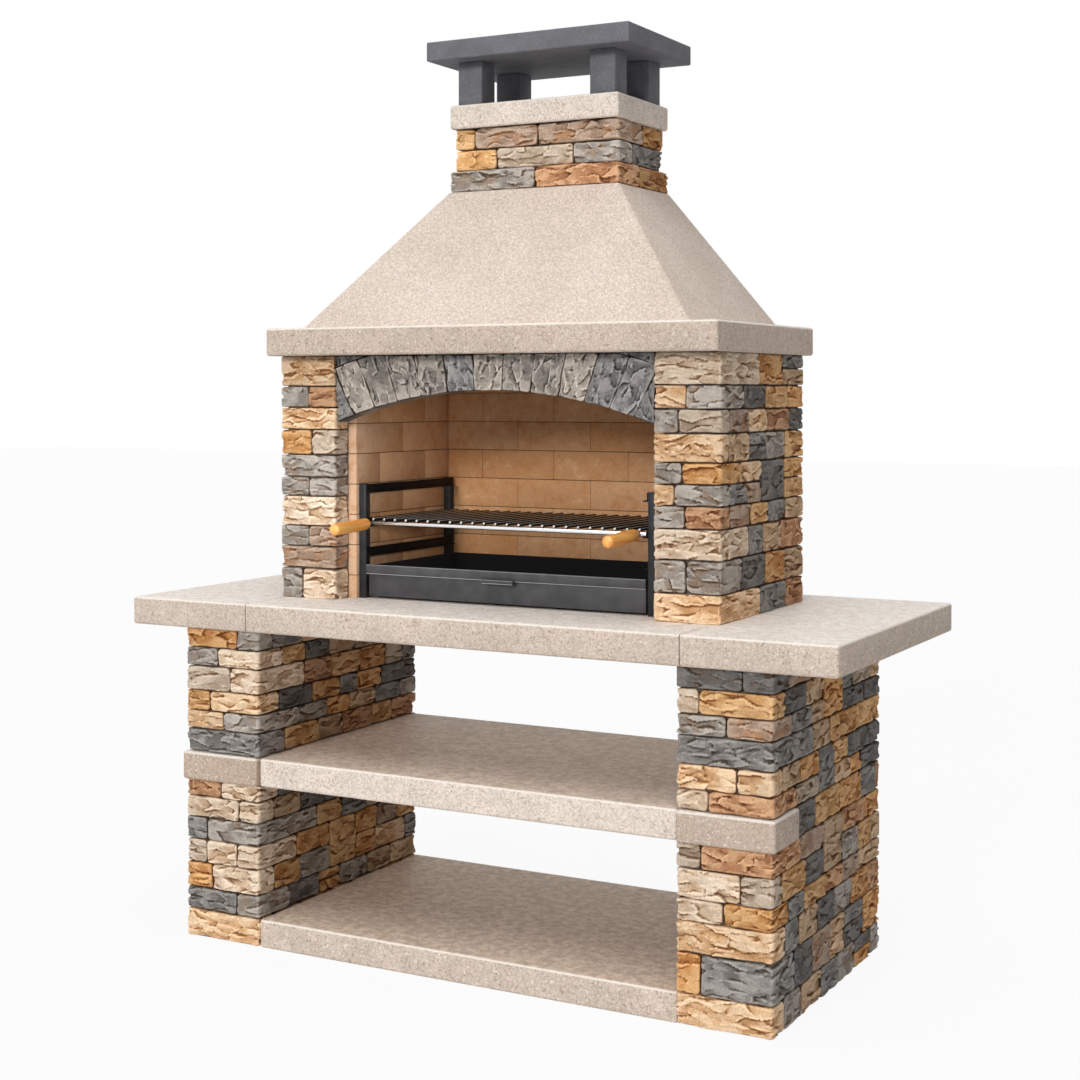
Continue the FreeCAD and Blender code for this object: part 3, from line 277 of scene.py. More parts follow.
def chip(rng, along, up):
    """A layer broken off along a jagged line: a sharp step that fades away from the line."""
    length, height = along.max(), up.max()
    line = height * rng.uniform(0.10, 0.92) + rng.normal(0, 0.10) * (along - length * rng.uniform())
    for height, wide in ((0.022, 0.030), (0.006, 0.008)):
        line = line + height * noise(rng, along, 0 * up, wide, 1.0)
    below = (line - up) * rng.choice((1.0, 1.0, -1.0))
    reach = 0.5 * length * rng.uniform(0.35, 0.95) + 0.01
    middle = length * rng.uniform(0.1, 0.9)
    run = np.clip(1.6 - 1.6 * np.abs(along - middle) / reach, 0.0, 1.0)
    fade = rng.uniform(0.010, 0.036)
    depth = rng.uniform(*CHIP_DEPTH)
    step = np.clip(below / CHIP_STEP, 0.0, 1.0)
    return -depth * run * step * np.exp(-np.clip(below, 0.0, None) / fade)


def blurred(field, reach):
    """A field averaged over the points within a reach."""
    out = np.pad(field, reach, mode="edge")
    for axis in (0, 1):
        out = sum(np.roll(out, k, axis) for k in range(-reach, reach + 1)) / (2 * reach + 1)
    return out[reach:-reach, reach:-reach]


def rounded_drop(distance, edge):
    """How far a rounded edge falls back at a distance from it."""
    inside = edge - np.clip(distance, 0.0, edge)
    return edge - np.sqrt(np.maximum(edge * edge - inside * inside, 0.0))


class Stones:
    """Split-faced stones gathered into one mesh, with colours and heights on its points."""

    def __init__(self):
        self.points, self.faces, self.count = [], [], 0
        self.values = {}

    def note(self, name, front, behind, hidden):
        """Keeps a value for the points of a stone's face and another for those of its back."""
        rest = np.full((front.shape[0], behind), hidden)
        self.values.setdefault(name, []).append(np.concatenate([front, rest], axis=1).ravel())

    def add(self, spots, outward, backs, along, up, gaps, arris_highlight, look, seed):
        """Adds a stone by the grid of its face: rows of points, the way out, and the points of its back."""
        rng = draws(seed)
        edge = rng.uniform(*look["edge"])
        s = along + STONE_WARP * noise(rng, along, up, WARP_CELL, WARP_CELL)
        z = up + STONE_WARP * noise(rng, along, up, WARP_CELL, WARP_CELL)
        relief = STONE_LIFT + scoops(rng, s, z, look["cell"], look["depth"])
        relief += flakes(rng, s, z, look["flake"], look["lean"])
        for _ in range(max(2, round(along.max() * up.max() / look["chip_area"]))):
            relief += chip(rng, z, s) if look["upright"] else chip(rng, s, z)
        grit = 0.0018 * noise(rng, along, up, 0.011, 0.009) + 0.0010 * noise(rng, along, up, 0.005, 0.005)
        relief += look["grit"] * grit
        turn = look["turn"]
        short = [np.maximum(turn - gap, 0.0) for gap in gaps]
        inside = turn - np.hypot(*short)
        for height, cell in ((0.0030, WARP_CELL), (0.0012, 0.009)):
            inside += height * noise(rng, along, up, cell, cell)
        drop = rounded_drop(inside, edge) + 2.0 * np.maximum(-inside, 0.0)
        out = np.clip(relief, *STONE_RANGE) - drop
        front = spots + outward * out[..., None]
        grid = np.concatenate([front, backs], axis=1)
        rows, width = grid.shape[:2]
        row, column = np.meshgrid(np.arange(rows - 1), np.arange(width), indexing="ij")
        after = (column + 1) % width
        here, beyond = row * width, (row + 1) * width
        corners = [here + column, beyond + column, beyond + after, here + after]
        self.faces += (self.count + np.stack(corners, -1).reshape(-1, 4)).tolist()
        end = self.count + rows * width - 1
        self.faces.append(list(range(self.count, self.count + width)))
        self.faces.append(list(range(end, end - width, -1)))
        self.points.append(grid.reshape(-1, 3))
        self.count += rows * width
        # the wall side's painted shade, times a random tone for each stone
        shade = look["shade"] * rng.uniform(0.90, 1.10)
        for name, colour in zip(("stone_tone", "stone_stain", "stone_patch"), look["colours"]):
            tint = [*(shade * part for part in linear(colour)), 1.0]
            self.values.setdefault(name, []).append(np.tile(tint, (rows * width, 1)))
        behind = backs.shape[1]
        # crests get a painted highlight and creases painted shade from this
        cavity = relief - blurred(relief, 2)
        # the pale rim and the corner arrises carry a painted highlight with wear
        rim = np.clip(1.0 - np.abs(inside - RIM_WIDTH) / RIM_WIDTH, 0.0, 1.0)
        height = (relief - relief.mean()) / HEIGHT_SPAN
        self.note("stone_height", np.clip(0.5 + height, 0.0, 1.0), behind, 0.0)
        self.note("stone_cavity", np.clip(0.5 + cavity / CAVITY_SPAN, 0.0, 1.0), behind, 0.5)
        self.note("stone_rim", np.maximum(rim, arris_highlight), behind, 0.0)
        self.note("stone_seam", drop / edge, behind, look["hidden"])

    def piece(self, node, slot, material):
        """The mesh of all the stones, as a piece in place of a CAD node."""
        mesh = bpy.data.meshes.new(node)
        mesh.from_pydata(np.concatenate(self.points).tolist(), [], self.faces)
        for attribute, parts in self.values.items():
            values = np.concatenate(parts)
            kind, field = ("FLOAT_COLOR", "color") if values.ndim == 2 else ("FLOAT", "value")
            mesh.attributes.new(attribute, kind, "POINT").data.foreach_set(field, values.ravel())
        shape = bmesh.new()
        shape.from_mesh(mesh)
        bmesh.ops.remove_doubles(shape, verts=shape.verts, dist=WELD / 2)
        bpy.data.meshes.remove(mesh)
        dressed(shape, node, "masonry", material, STONE_SHARP)


def exposed_path(corners, wall):
    """The plan points along which a stone shows, followed with the outside on the right."""
    x0, x1, y0, y1 = wall
    xs, ys = corners[:, 0], corners[:, 1]
    runs = {}
    for side, on_it in (
        ("left", np.abs(xs - x0) < ON_WALL),
        ("front", np.abs(ys - y0) < ON_WALL),
        ("right", np.abs(xs - x1) < ON_WALL),
        ("back", np.abs(ys - y1) < ON_WALL),
    ):
        if on_it.any():
            along = ys[on_it] if side in ("left", "right") else xs[on_it]
            runs[side] = (along.min(), along.max())
    order = ["left", "front", "right", "back"]
    first = next(k for k in range(4) if order[k] in runs and order[k - 1] not in runs)
    points = []
    for side in order[first:] + order[:first]:
        if side not in runs:
            continue
        low, high = runs[side]
        ends = {
            "left": ((x0, high), (x0, low)),
            "front": ((low, y0), (high, y0)),
            "right": ((x1, low), (x1, high)),
            "back": ((high, y1), (low, y1)),
        }[side]
        points += [end for end in ends if not points or math.dist(end, points[-1]) > ON_WALL]
    return [Vector(point) for point in points]


def along_path(points):
    """Places along a path with rounded corners, and its length.

    Each place is a point, the way out, the point at the back, the distance, and 1 on a corner.
    """
    places = []
    travelled = 0.0
    legs = list(zip(points, points[1:]))
    for number, (start, end) in enumerate(legs):
        heading = (end - start).normalized()
        outward = Vector((heading.y, -heading.x))
        length = (end - start).length
        cut_start = STONE_CORNER if number > 0 else 0.0
        cut_end = STONE_CORNER if number < len(legs) - 1 else 0.0
        straight = length - cut_start - cut_end
        inner_low = STONE_BACK if number > 0 else 0.0
        inner_high = length - (STONE_BACK if number < len(legs) - 1 else 0.0)
        for spot in stations(straight, STONE_STEP, min(STONE_EDGE[1], 0.4 * straight)):
            at = cut_start + spot
            inner = min(max(at, inner_low), max(inner_high, inner_low))
            back = start + heading * inner - outward * STONE_BACK
            places.append((start + heading * at, outward, back, travelled + spot, 0.0))
        travelled += straight
        if cut_end:
            centre = end - heading * cut_end - outward * STONE_CORNER
            back = end - heading * STONE_BACK - outward * STONE_BACK
            for part in (0.25, 0.5, 0.75):
                angle = part * math.pi / 2
                direction = outward * math.cos(angle) + heading * math.sin(angle)
                spot = centre + direction * STONE_CORNER
                places.append((spot, direction, back, travelled + STONE_CORNER * angle, 1.0))
            travelled += STONE_CORNER * math.pi / 2
    return places, travelled


def add_wall_stone(stones, corners, wall, letter, seed, shade=1.0):
    """Adds a facing stone where a CAD solid is, split on the sides that show."""
    bottom, top = corners[:, 2].min(), corners[:, 2].max()
    height = top - bottom
    places, length = along_path(exposed_path(corners, wall))
    levels = np.array(stations(height, STONE_STEP, min(STONE_EDGE[1], 0.3 * height)))
    spots = np.array([[(*spot, bottom + level) for level in levels] for spot, *_ in places])
    outward = np.array([[(*direction, 0.0)] for _, direction, *_ in places])
    inner = [back for _, _, back, *_ in places]
    backs = np.array([[(*back, top - BACK_INSET), (*back, bottom + BACK_INSET)] for back in inner])
    along = np.array([[distance] * len(levels) for *_, distance, _ in places])
    arris_highlight = np.array([[on_corner] * len(levels) for *_, on_corner in places])
    up = np.tile(levels, (len(places), 1))
    gaps = np.minimum(along, length - along), np.minimum(up, height - up)
    look = {"edge": STONE_EDGE, "turn": STONE_TURN, "cell": STONE_CELL, "depth": STONE_DEPTH}
    look.update(flake=STONE_FLAKE, lean=STONE_LEAN, chip_area=CHIP_AREA, upright=False, grit=1.0)
    look.update(hidden=1.0, colours=STONE_TONES[letter], shade=shade)
    stones.add(spots, outward, backs, along, up, gaps, arris_highlight, look, seed)


def plan_box(*nodes):
    """The plan rectangle around some nodes."""
    lows, highs = zip(*(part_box(node) for node in nodes))
    return (
        min(low.x for low in lows),
        max(high.x for high in highs),
        min(low.y for low in lows),
        max(high.y for high in highs),
    )


def from_the_top(stones, axis=0):
    """Stones sorted course by course from the top, and along an axis."""
    return sorted(stones, key=lambda corners: (-round(corners[:, 2].max(), 3), corners[:, axis].min()))


def next_tone(draw, before):
    """A random tone, of another family than the stone before."""
    families = [k for k in range(len(TONE_FAMILIES)) if before not in TONE_FAMILIES[k]]
    family = draw.choices(families, [FAMILY_SHARES[k] for k in families])[0]
    return draw.choice(TONE_FAMILIES[family])


def facing_stones(material):
    """The fronts have the tones written above, and the other walls seeded ones."""
    seen_faces = {"pedestal": ("front", "outer", "inner", "rear"), "pier": ("front", "outer")}
    for side in ("left", "right"):
        for part, faces in seen_faces.items():
            nodes = [f"{side}_{part}_{face}_stones" for face in faces]
            wall = plan_box(*nodes)
            for node, face in zip(nodes, faces):
                draw = random.Random(node)
                letters = list(FRONT_STONES.get(node, "").replace(" ", ""))
                letter = "h"
                stones = Stones()
                in_order = from_the_top(solids(node), 1 if face in ("outer", "inner") else 0)
                for number, corners in enumerate(in_order):
                    letter = letters.pop(0) if letters else next_tone(draw, letter)
                    # each face's stones take its painted shade
                    add_wall_stone(stones, corners, wall, letter, f"{node} {number}", PAINTED_FACE_SHADES[face])
                stones.piece(node, "facing_stone", material)


def chimney_stones(material):
    """The chimney's courses each have a plan rectangle of their own."""
    node = "chimney_stones"
    draw = random.Random(node)
    letters = list(CHIMNEY_STONES.replace(" ", ""))
    courses = {}
    for corners in solids(node):
        courses.setdefault(-round(corners[:, 2].max(), 3), []).append(corners)
    stones = Stones()
    for level in sorted(courses):
        every = np.concatenate(courses[level])
        wall = (every[:, 0].min(), every[:, 0].max(), every[:, 1].min(), every[:, 1].max())
        in_front = [corners for corners in courses[level] if corners[:, 1].min() < wall[2] + ON_WALL]
        behind = [corners for corners in courses[level] if corners[:, 1].min() >= wall[2] + ON_WALL]
        for corners in from_the_top(in_front):
            add_wall_stone(stones, corners, wall, letters.pop(0), f"{node} {stones.count}", CHIMNEY_FRONT_PAINTED_LIGHT)
        letter = "h"
        for corners in from_the_top(behind):
            letter = next_tone(draw, letter)
            add_wall_stone(stones, corners, wall, letter, f"{node} {stones.count}", CHIMNEY_SIDE_PAINTED_SHADE)
    stones.piece(node, "facing_stone", material)


# Arch


def add_arch_stone(stones, lower, upper, face, back, colours, seed):
    """Adds a chiselled stone between a lower and an upper edge, each of as many points (x, z)."""
    lower, upper = np.array(lower), np.array(upper)
    rises = np.linalg.norm(upper - lower, axis=1)
    levels = np.array(stations(rises.max(), STONE_STEP, ARCH_EDGE[1])) / rises.max()
    plan = lower[:, None] + (upper - lower)[:, None] * levels[None, :, None]
    spots = np.stack([plan[..., 0], np.full(plan.shape[:2], face), plan[..., 1]], axis=-1)
    behind = face + ARCH_RETURN
    backs = np.array([
        [(x1, behind, z1), (x1, back, z1), (x0, back, z0), (x0, behind, z0)]
        for (x0, z0), (x1, z1) in zip(lower, upper)
    ])
    along = np.linalg.norm(plan - plan[:1], axis=-1)
    ends = np.minimum(along, along[-1:] - along)
    up = rises[:, None] * levels[None, :]
    beds = np.minimum(up, rises[:, None] - up)
    look = {"edge": ARCH_EDGE, "turn": ARCH_TURN, "cell": ARCH_CELL, "depth": ARCH_DEPTH}
    look.update(flake=ARCH_FLAKE, lean=ARCH_LEAN, chip_area=ARCH_CHIP_AREA, upright=True, grit=1.5)
    look.update(hidden=0.0, colours=colours, shade=1.0)
    if lower[-1][0] < lower[0][0]:
        spots, backs, along, up, ends, beds = (part[::-1] for part in (spots, backs, along, up, ends, beds))
    arris_highlight = np.zeros_like(along)
    stones.add(spots, np.array([[(0.0, -1.0, 0.0)]]), backs, along, up, (ends, beds), arris_highlight, look, seed)


def arch(material):
    low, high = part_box("arch_springers")
    half_span = high.x + ARCH_JOINT
    face, back = low.y, high.y
    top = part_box("mantel_slab")[0].z
    radius = (half_span**2 + ARCH_RISE**2) / (2 * ARCH_RISE)
    crown = top - ARCH_CROWN_DROP
    centre = crown - radius
    outer = radius + ARCH_RING_DEPTH
    fan = crown - ARCH_FAN

    def on_ring(x_at_crown, ring):
        """Where the line from the fan's centre through a point at crown level meets a circle."""
        slope = x_at_crown / ARCH_FAN
        a = 1 + slope**2
        half_b = fan - centre
        rise = (-half_b + math.sqrt(half_b**2 - a * (half_b**2 - ring**2))) / a
        return (slope * rise, fan + rise)

    def head(x_at_crown):
        """The upper end of that line: on the back of the ring, or under the mantel."""
        point = on_ring(x_at_crown, outer)
        if point[1] <= top:
            return point
        return (x_at_crown / ARCH_FAN * (top - fan), top)

    def spread(start, end):
        return [start + (end - start) * share for share in shares]

    last = half_span - ARCH_END
    last_level = centre + math.sqrt(radius**2 - last**2)
    widest = last * ARCH_FAN / (last_level - fan)
    pitch = 2 * widest / VOUSSOIR_COUNT
    shares = stations(1.0, STONE_STEP / pitch, ARCH_EDGE[1] / pitch)

    stones = Stones()
    for number, letter in enumerate(ARCH_STONES):
        left = -widest + number * pitch + ARCH_JOINT / 2
        fans = spread(left, left + pitch - ARCH_JOINT)
        lower, upper = [on_ring(at, radius) for at in fans], [head(at) for at in fans]
        add_arch_stone(stones, lower, upper, face, back, ARCH_TONES[letter], f"voussoir {number}")
    stones.piece("arch_voussoirs", "arch_slate", material)

    edge = half_span - ARCH_JOINT
    ring_meets_top = math.sqrt(outer**2 - (top - centre) ** 2) + SPANDREL_TIP
    ends, fillers = Stones(), Stones()
    for side in (-1, 1):
        joint = side * (widest + ARCH_JOINT)
        feet = spread(side * edge, on_ring(joint, radius)[0])
        heads = spread(side * edge, head(joint)[0])
        lower = [(x, centre + math.sqrt(radius**2 - x**2)) for x in feet]
        upper = [(x, min(top, centre + math.sqrt(outer**2 - x**2))) for x in heads]
        add_arch_stone(ends, lower, upper, face, back, ARCH_TONES["d"], f"springer {side}")
        across = spread(side * ring_meets_top, side * edge)
        lower = [(x, centre + math.sqrt((outer + ARCH_JOINT) ** 2 - x**2)) for x in across]
        upper = [(x, top) for x in across]
        add_arch_stone(fillers, lower, upper, face, back, ARCH_TONES["d"], f"spandrel {side}")
    ends.piece("arch_springers", "arch_slate", material)
    fillers.piece("arch_spandrels", "arch_slate", material)


# Firebricks


def firebricks(material):
    for node in ("left_firebricks", "right_firebricks", "rear_firebricks"):
        shape = bmesh.new()
        tone = shape.verts.layers.float.new("brick_tone_and_light")
        seam = shape.verts.layers.float.new("brick_seam")
        draw = random.Random(node)
        across = 0 if node == "rear_firebricks" else 1
        wall_low, wall_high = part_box(node)
        for corners in solids(node):
            low, high = corners.min(0), corners.max(0)
            joints = []
            for k in (across, 2):
                if low[k] > wall_low[k] + ON_WALL:
                    low[k] -= BRICK_GROW
                    joints.append((k, low[k]))
                if high[k] < wall_high[k] - ON_WALL:
                    high[k] += BRICK_GROW
                    joints.append((k, high[k]))
            made = bmesh.ops.create_cube(shape, size=1.0)["verts"]
            for vert in made:
                vert.co = [low[k] if vert.co[k] < 0 else high[k] for k in range(3)]
            edges = {edge for vert in made for edge in vert.link_edges}
            old = set(shape.verts) - set(made)
            bmesh.ops.bevel(
                shape, geom=list(edges), offset=BRICK_EDGE, segments=2, profile=0.5, affect="EDGES"
            )
            # a random tone, with the side linings lighter and their front ends full pale as painted light
            value = draw.uniform(*((0.0, 0.35) if across == 0 else (0.15, 0.45)))
            for vert in set(shape.verts) - old:
                painted_light_front = across == 1 and vert.co.y < wall_low.y + BRICK_EDGE
                vert[tone] = 1.0 if painted_light_front else value
                near = [k for k, level in joints if abs(vert.co[k] - level) < 0.5 * BRICK_EDGE]
                vert[seam] = 1.0 if 2 in near else 0.55 * len(near)
        dressed(shape, node, "masonry", material, ROUND_SHARP)


# Pieces that keep their CAD shape, with eased edges


def eased(node, body, material, edge=0.0, segments=2, stays=None):
    """A copy of a CAD node with its sharp edges rounded, but for those that stay, the rounded edges noted
    for a painted highlight with wear, fuller where they face down.
    """
    shape = welded(node)
    highlight_and_wear = shape.faces.layers.float.new("highlight_and_wear")
    sharp = [e for e in shape.edges if len(e.link_faces) == 2 and e.calc_face_angle(0) > math.radians(25)]
    if stays:
        sharp = [e for e in sharp if not stays(e)]
    if edge:
        made = bmesh.ops.bevel(
            shape, geom=sharp, offset=edge, segments=segments,
            profile=0.5, affect="EDGES", clamp_overlap=True,
        )
        shape.normal_update()
        # painted highlight with wear on the rounded edges, fuller on those that face down
        for face in made["faces"]:
            face[highlight_and_wear] = 1.0 if face.normal.z < 0 else 0.35
    return dressed(shape, node, body, material, PLAIN_SHARP)


def toned(obj, pale, top_painted_shade):
    """Notes on all points of a slab how pale its sides are and how much painted shade browns its top."""
    for name, value in (("slab_pale", pale), ("slab_top_painted_shade", top_painted_shade)):
        values = obj.data.attributes.new(name, "FLOAT", "POINT").data
        values.foreach_set("value", [value] * len(values))


def core(node, material, sides):
    """A core whose mortar comes forward between the facing stones, on sides given as (axis, end)."""
    shape = welded(node)
    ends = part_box(node)
    for vert in shape.verts:
        for axis, end in sides:
            if abs(vert.co[axis] - ends[end][axis]) < ON_WALL:
                vert.co[axis] += MORTAR_REACH * (2 * end - 1)
    dressed(shape, node, "masonry", material, PLAIN_SHARP)


def worktop(material):
    """Three slabs, rounded along the outside and sharp where they meet."""
    nodes = ("worktop_left", "worktop_centre", "worktop_right")
    outer = plan_box(*nodes)[:2]
    for node in nodes:
        low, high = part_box(node)
        shape = bmesh.new()
        bmesh.ops.create_cube(shape, size=1.0)
        for vert in shape.verts:
            vert.co = [low[k] if vert.co[k] < 0 else high[k] for k in range(3)]
        joints = [x for x in (low.x, high.x) if min(abs(x - end) for end in outer) > 2 * SLAB_GAP]
        for vert in shape.verts:
            if vert.co.y == low.y and vert.co.x in joints:
                vert.co.x += SLAB_GAP if vert.co.x == low.x else -SLAB_GAP
        round_edges = [
            e for e in shape.edges
            if not any(all(abs(vert.co.x - x) < 2 * SLAB_GAP for vert in e.verts) for x in joints)
        ]
        bmesh.ops.bevel(shape, geom=round_edges, offset=SLAB_EDGE, segments=4, profile=0.5, affect="EDGES")
        toned(dressed(shape, node, "masonry", material, PLAIN_SHARP), WORKTOP_PALE, 0.0)


def tray_pan(material):
    """The pan, with soot noted on the faces of its inside."""
    obj = eased("tray_pan", "tray", material, TRAY_EDGE)
    low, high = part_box("tray_pan")
    middle = (low + high) / 2
    soot = []
    for face in obj.data.polygons:
        inward = (face.center - middle) * face.normal
        side = max(range(3), key=lambda k: abs(face.normal[k]))
        floor_inside = side == 2 and face.normal.z > 0 and face.center.z < middle.z
        soot.append(1.0 if floor_inside or (side < 2 and inward[side] < 0) else 0.0)
    obj.data.attributes.new("soot", "FLOAT", "FACE").data.foreach_set("value", soot)


def join_rings(shape, rings):
    """Faces between rings of as many points each, and over both ends."""
    for first, second in zip(rings, rings[1:]):
        for k in range(len(first)):
            shape.faces.new((first[k - 1], first[k], second[k], second[k - 1]))
    shape.faces.new(rings[0])
    shape.faces.new(rings[-1])


def add_rod(shape, start, end, radius, end_round, sides=20):
    """A round rod with softened ends between two points."""
    start, end = Vector(start), Vector(end)
    heading = (end - start).normalized()
    across = heading.orthogonal().normalized()
    upward = heading.cross(across)
    length = (end - start).length
    profile = [(0.0, radius - end_round), (0.3 * end_round, radius - 0.3 * end_round), (end_round, radius)]
    profile += [(length - at, size) for at, size in reversed(profile)]
    rings = []
    for at, size in profile:
        ring = []
        for k in range(sides):
            angle = 2 * math.pi * k / sides
            spot = start + heading * at + (across * math.cos(angle) + upward * math.sin(angle)) * size
            ring.append(shape.verts.new(spot))
        rings.append(ring)
    join_rings(shape, rings)


def rods(node, body, material, axis, end_round):
    """Smooth rods in place of a node of cylinders that lie along an axis."""
    shape = bmesh.new()
    for corners in solids(node):
        low, high = Vector(corners.min(0)), Vector(corners.max(0))
        middle = (low + high) / 2
        start, end = middle.copy(), middle.copy()
        start[axis], end[axis] = low[axis], high[axis]
        radius = (high.z - low.z) / 2
        add_rod(shape, start, end, radius, end_round)
    dressed(shape, node, body, material, ROUND_SHARP)


def handles(material):
    """Turned grips with rounded ends, a touch fuller in the middle."""
    for node in ("grill_left_handle", "grill_right_handle"):
        low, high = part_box(node)
        middle = (low + high) / 2
        radius = (high.z - low.z) / 2
        length = high.y - low.y
        steps, sides = 28, 36
        shape = bmesh.new()
        rings = []
        for k in range(steps + 1):
            at = 0.5 - 0.5 * math.cos(math.pi * k / steps)
            distance = min(at, 1 - at) * length
            fall = float(rounded_drop(distance, HANDLE_ROUND))
            size = radius - fall - 0.0006 * (2 * at - 1) ** 2
            ring = []
            for j in range(sides):
                angle = 2 * math.pi * j / sides
                height = middle.z - HANDLE_DROOP * (1 - at) + size * math.sin(angle)
                spot = (middle.x + size * math.cos(angle), low.y + at * length, height)
                ring.append(shape.verts.new(spot))
            rings.append(ring)
        join_rings(shape, rings)
        dressed(shape, node, "grill", material, GRIP_SHARP)


# Materials


class Shader:
    """A material's node tree with short calls for adding and joining nodes."""

    def __init__(self, name):
        self.material = bpy.data.materials.new(name)
        self.material.use_nodes = True
        self.tree = self.material.node_tree
        self.bsdf = self.tree.nodes["Principled BSDF"]
        self.place = self.add("ShaderNodeTexCoord").outputs["Object"]

    def add(self, kind, **settings):
        node = self.tree.nodes.new(kind)
        for name, value in settings.items():
            setattr(node, name, value)
        return node

    def put(self, socket, value):
        """Joins a socket to another node's output, or sets it to a constant."""
        if isinstance(value, bpy.types.NodeSocket):
            self.tree.links.new(value, socket)
        else:
            socket.default_value = value

    def attribute(self, name, output="Color"):
        return self.add("ShaderNodeAttribute", attribute_name=name).outputs[output]

    def stretched(self, scale):
        node = self.add("ShaderNodeMapping")
        self.put(node.inputs["Vector"], self.place)
        node.inputs["Scale"].default_value = scale
        return node.outputs["Vector"]

    def clouds(self, scale, detail=3.0, rough=0.55, place=None):
        node = self.add("ShaderNodeTexNoise")
        self.put(node.inputs["Vector"], place or self.place)
        node.inputs["Scale"].default_value = scale
        node.inputs["Detail"].default_value = detail
        node.inputs["Roughness"].default_value = rough
        return node.outputs["Fac"]

    def ramp(self, value, low, high, low_out=0.0, high_out=1.0):
        """A value between two levels, spread over an output range."""
        node = self.add("ShaderNodeMapRange", interpolation_type="SMOOTHSTEP")
        self.put(node.inputs["Value"], value)
        levels = {"From Min": low, "From Max": high, "To Min": low_out, "To Max": high_out}
        for socket, level in levels.items():
            node.inputs[socket].default_value = level
        return node.outputs["Result"]

    def mix(self, share, first, second, blend="MIX"):
        node = self.add("ShaderNodeMix", data_type="RGBA", blend_type=blend)
        self.put(node.inputs["Factor"], share)
        first_colour, second_colour = [socket for socket in node.inputs if socket.type == "RGBA"]
        self.put(first_colour, first)
        self.put(second_colour, second)
        return next(socket for socket in node.outputs if socket.type == "RGBA")

    def brighten(self, colour, value):
        """A colour times a grey value."""
        node = self.add("ShaderNodeVectorMath", operation="SCALE")
        self.put(node.inputs[0], colour)
        self.put(node.inputs["Scale"], value)
        return node.outputs["Vector"]

    def math(self, operation, first, second):
        node = self.add("ShaderNodeMath", operation=operation)
        self.put(node.inputs[0], first)
        self.put(node.inputs[1], second)
        return node.outputs[0]

    def bump(self, height, strength, distance):
        node = self.add("ShaderNodeBump")
        self.put(node.inputs["Height"], height)
        node.inputs["Strength"].default_value = strength
        node.inputs["Distance"].default_value = distance
        self.put(self.bsdf.inputs["Normal"], node.outputs["Normal"])

    def done(self, colour, roughness, metallic=0.0, gloss=0.5):
        self.bsdf.inputs["Specular IOR Level"].default_value = gloss
        self.put(self.bsdf.inputs["Base Color"], colour)
        self.put(self.bsdf.inputs["Roughness"], roughness)
        self.bsdf.inputs["Metallic"].default_value = metallic
        return self.material


def opaque(colour):
    return (*linear(colour), 1.0)


def facing_stone(name, seam_start, seam_end, painted_crease_shade, painted_crest_highlight):
    """Split stone: stains and patches that follow its relief, so raised parts are lighter and hollows
    darker as painted highlight and shade, a painted highlight on crests, painted shade in creases, brown
    seams, and a pale rim of painted highlight and wear.
    """
    s = Shader(name)
    raised = s.math("SUBTRACT", s.attribute("stone_height", "Fac"), 0.5)
    stain_and_highlight_colour = s.attribute("stone_stain")
    # the stain gathers on raised parts and the patches in hollows: partly painted highlight and painted
    # shade
    stain = s.math("ADD", s.clouds(22.0, 5.0, 0.65), s.math("MULTIPLY", raised, 0.35))
    colour = s.mix(s.ramp(stain, 0.42, 0.64), s.attribute("stone_tone"), stain_and_highlight_colour)
    patch = s.clouds(31.0, 5.0, 0.65, s.stretched((1.0, 1.0, 1.4)))
    patch = s.math("SUBTRACT", patch, s.math("MULTIPLY", raised, 0.30))
    colour = s.mix(s.ramp(patch, 0.50, 0.70, 0.0, 0.60), colour, s.attribute("stone_patch"))
    streaks = s.clouds(1.0, 4.0, 0.6, s.stretched((26.0, 26.0, 120.0)))
    colour = s.brighten(colour, s.ramp(streaks, 0.3, 0.72, 0.88, 1.08))
    grain = s.clouds(330.0, 3.0, 0.75)
    colour = s.brighten(colour, s.ramp(grain, 0.3, 0.7, 0.76, 1.18))
    # painted highlight on the crests, brightened from the stain colour
    pale = s.brighten(stain_and_highlight_colour, painted_crest_highlight)
    cavity = s.attribute("stone_cavity", "Fac")
    colour = s.mix(s.ramp(cavity, 0.55, 0.90, 0.0, 0.80), colour, pale)
    # pale rim: painted highlight and wear along the edges
    highlight_and_wear = s.ramp(s.clouds(60.0, 4.0, 0.7), 0.38, 0.60)
    rim = s.math("MULTIPLY", s.ramp(s.attribute("stone_rim", "Fac"), 0.1, 0.9, 0.0, 0.60), highlight_and_wear)
    colour = s.mix(rim, colour, pale)
    # painted shade in the creases
    colour = s.mix(s.ramp(cavity, 0.08, 0.45, 1.0, 0.0), colour, painted_crease_shade, "MULTIPLY")
    seam = s.ramp(s.attribute("stone_seam", "Fac"), seam_start, seam_end)
    colour = s.mix(seam, colour, (0.28, 0.21, 0.16, 1.0), "MULTIPLY")
    height = s.math("ADD", s.clouds(130.0, 5.0, 0.65), s.math("MULTIPLY", streaks, 0.5))
    s.bump(height, 0.6, 0.0030)
    return s.done(colour, s.ramp(grain, 0.3, 0.7, 0.72, 0.92), gloss=0.25)


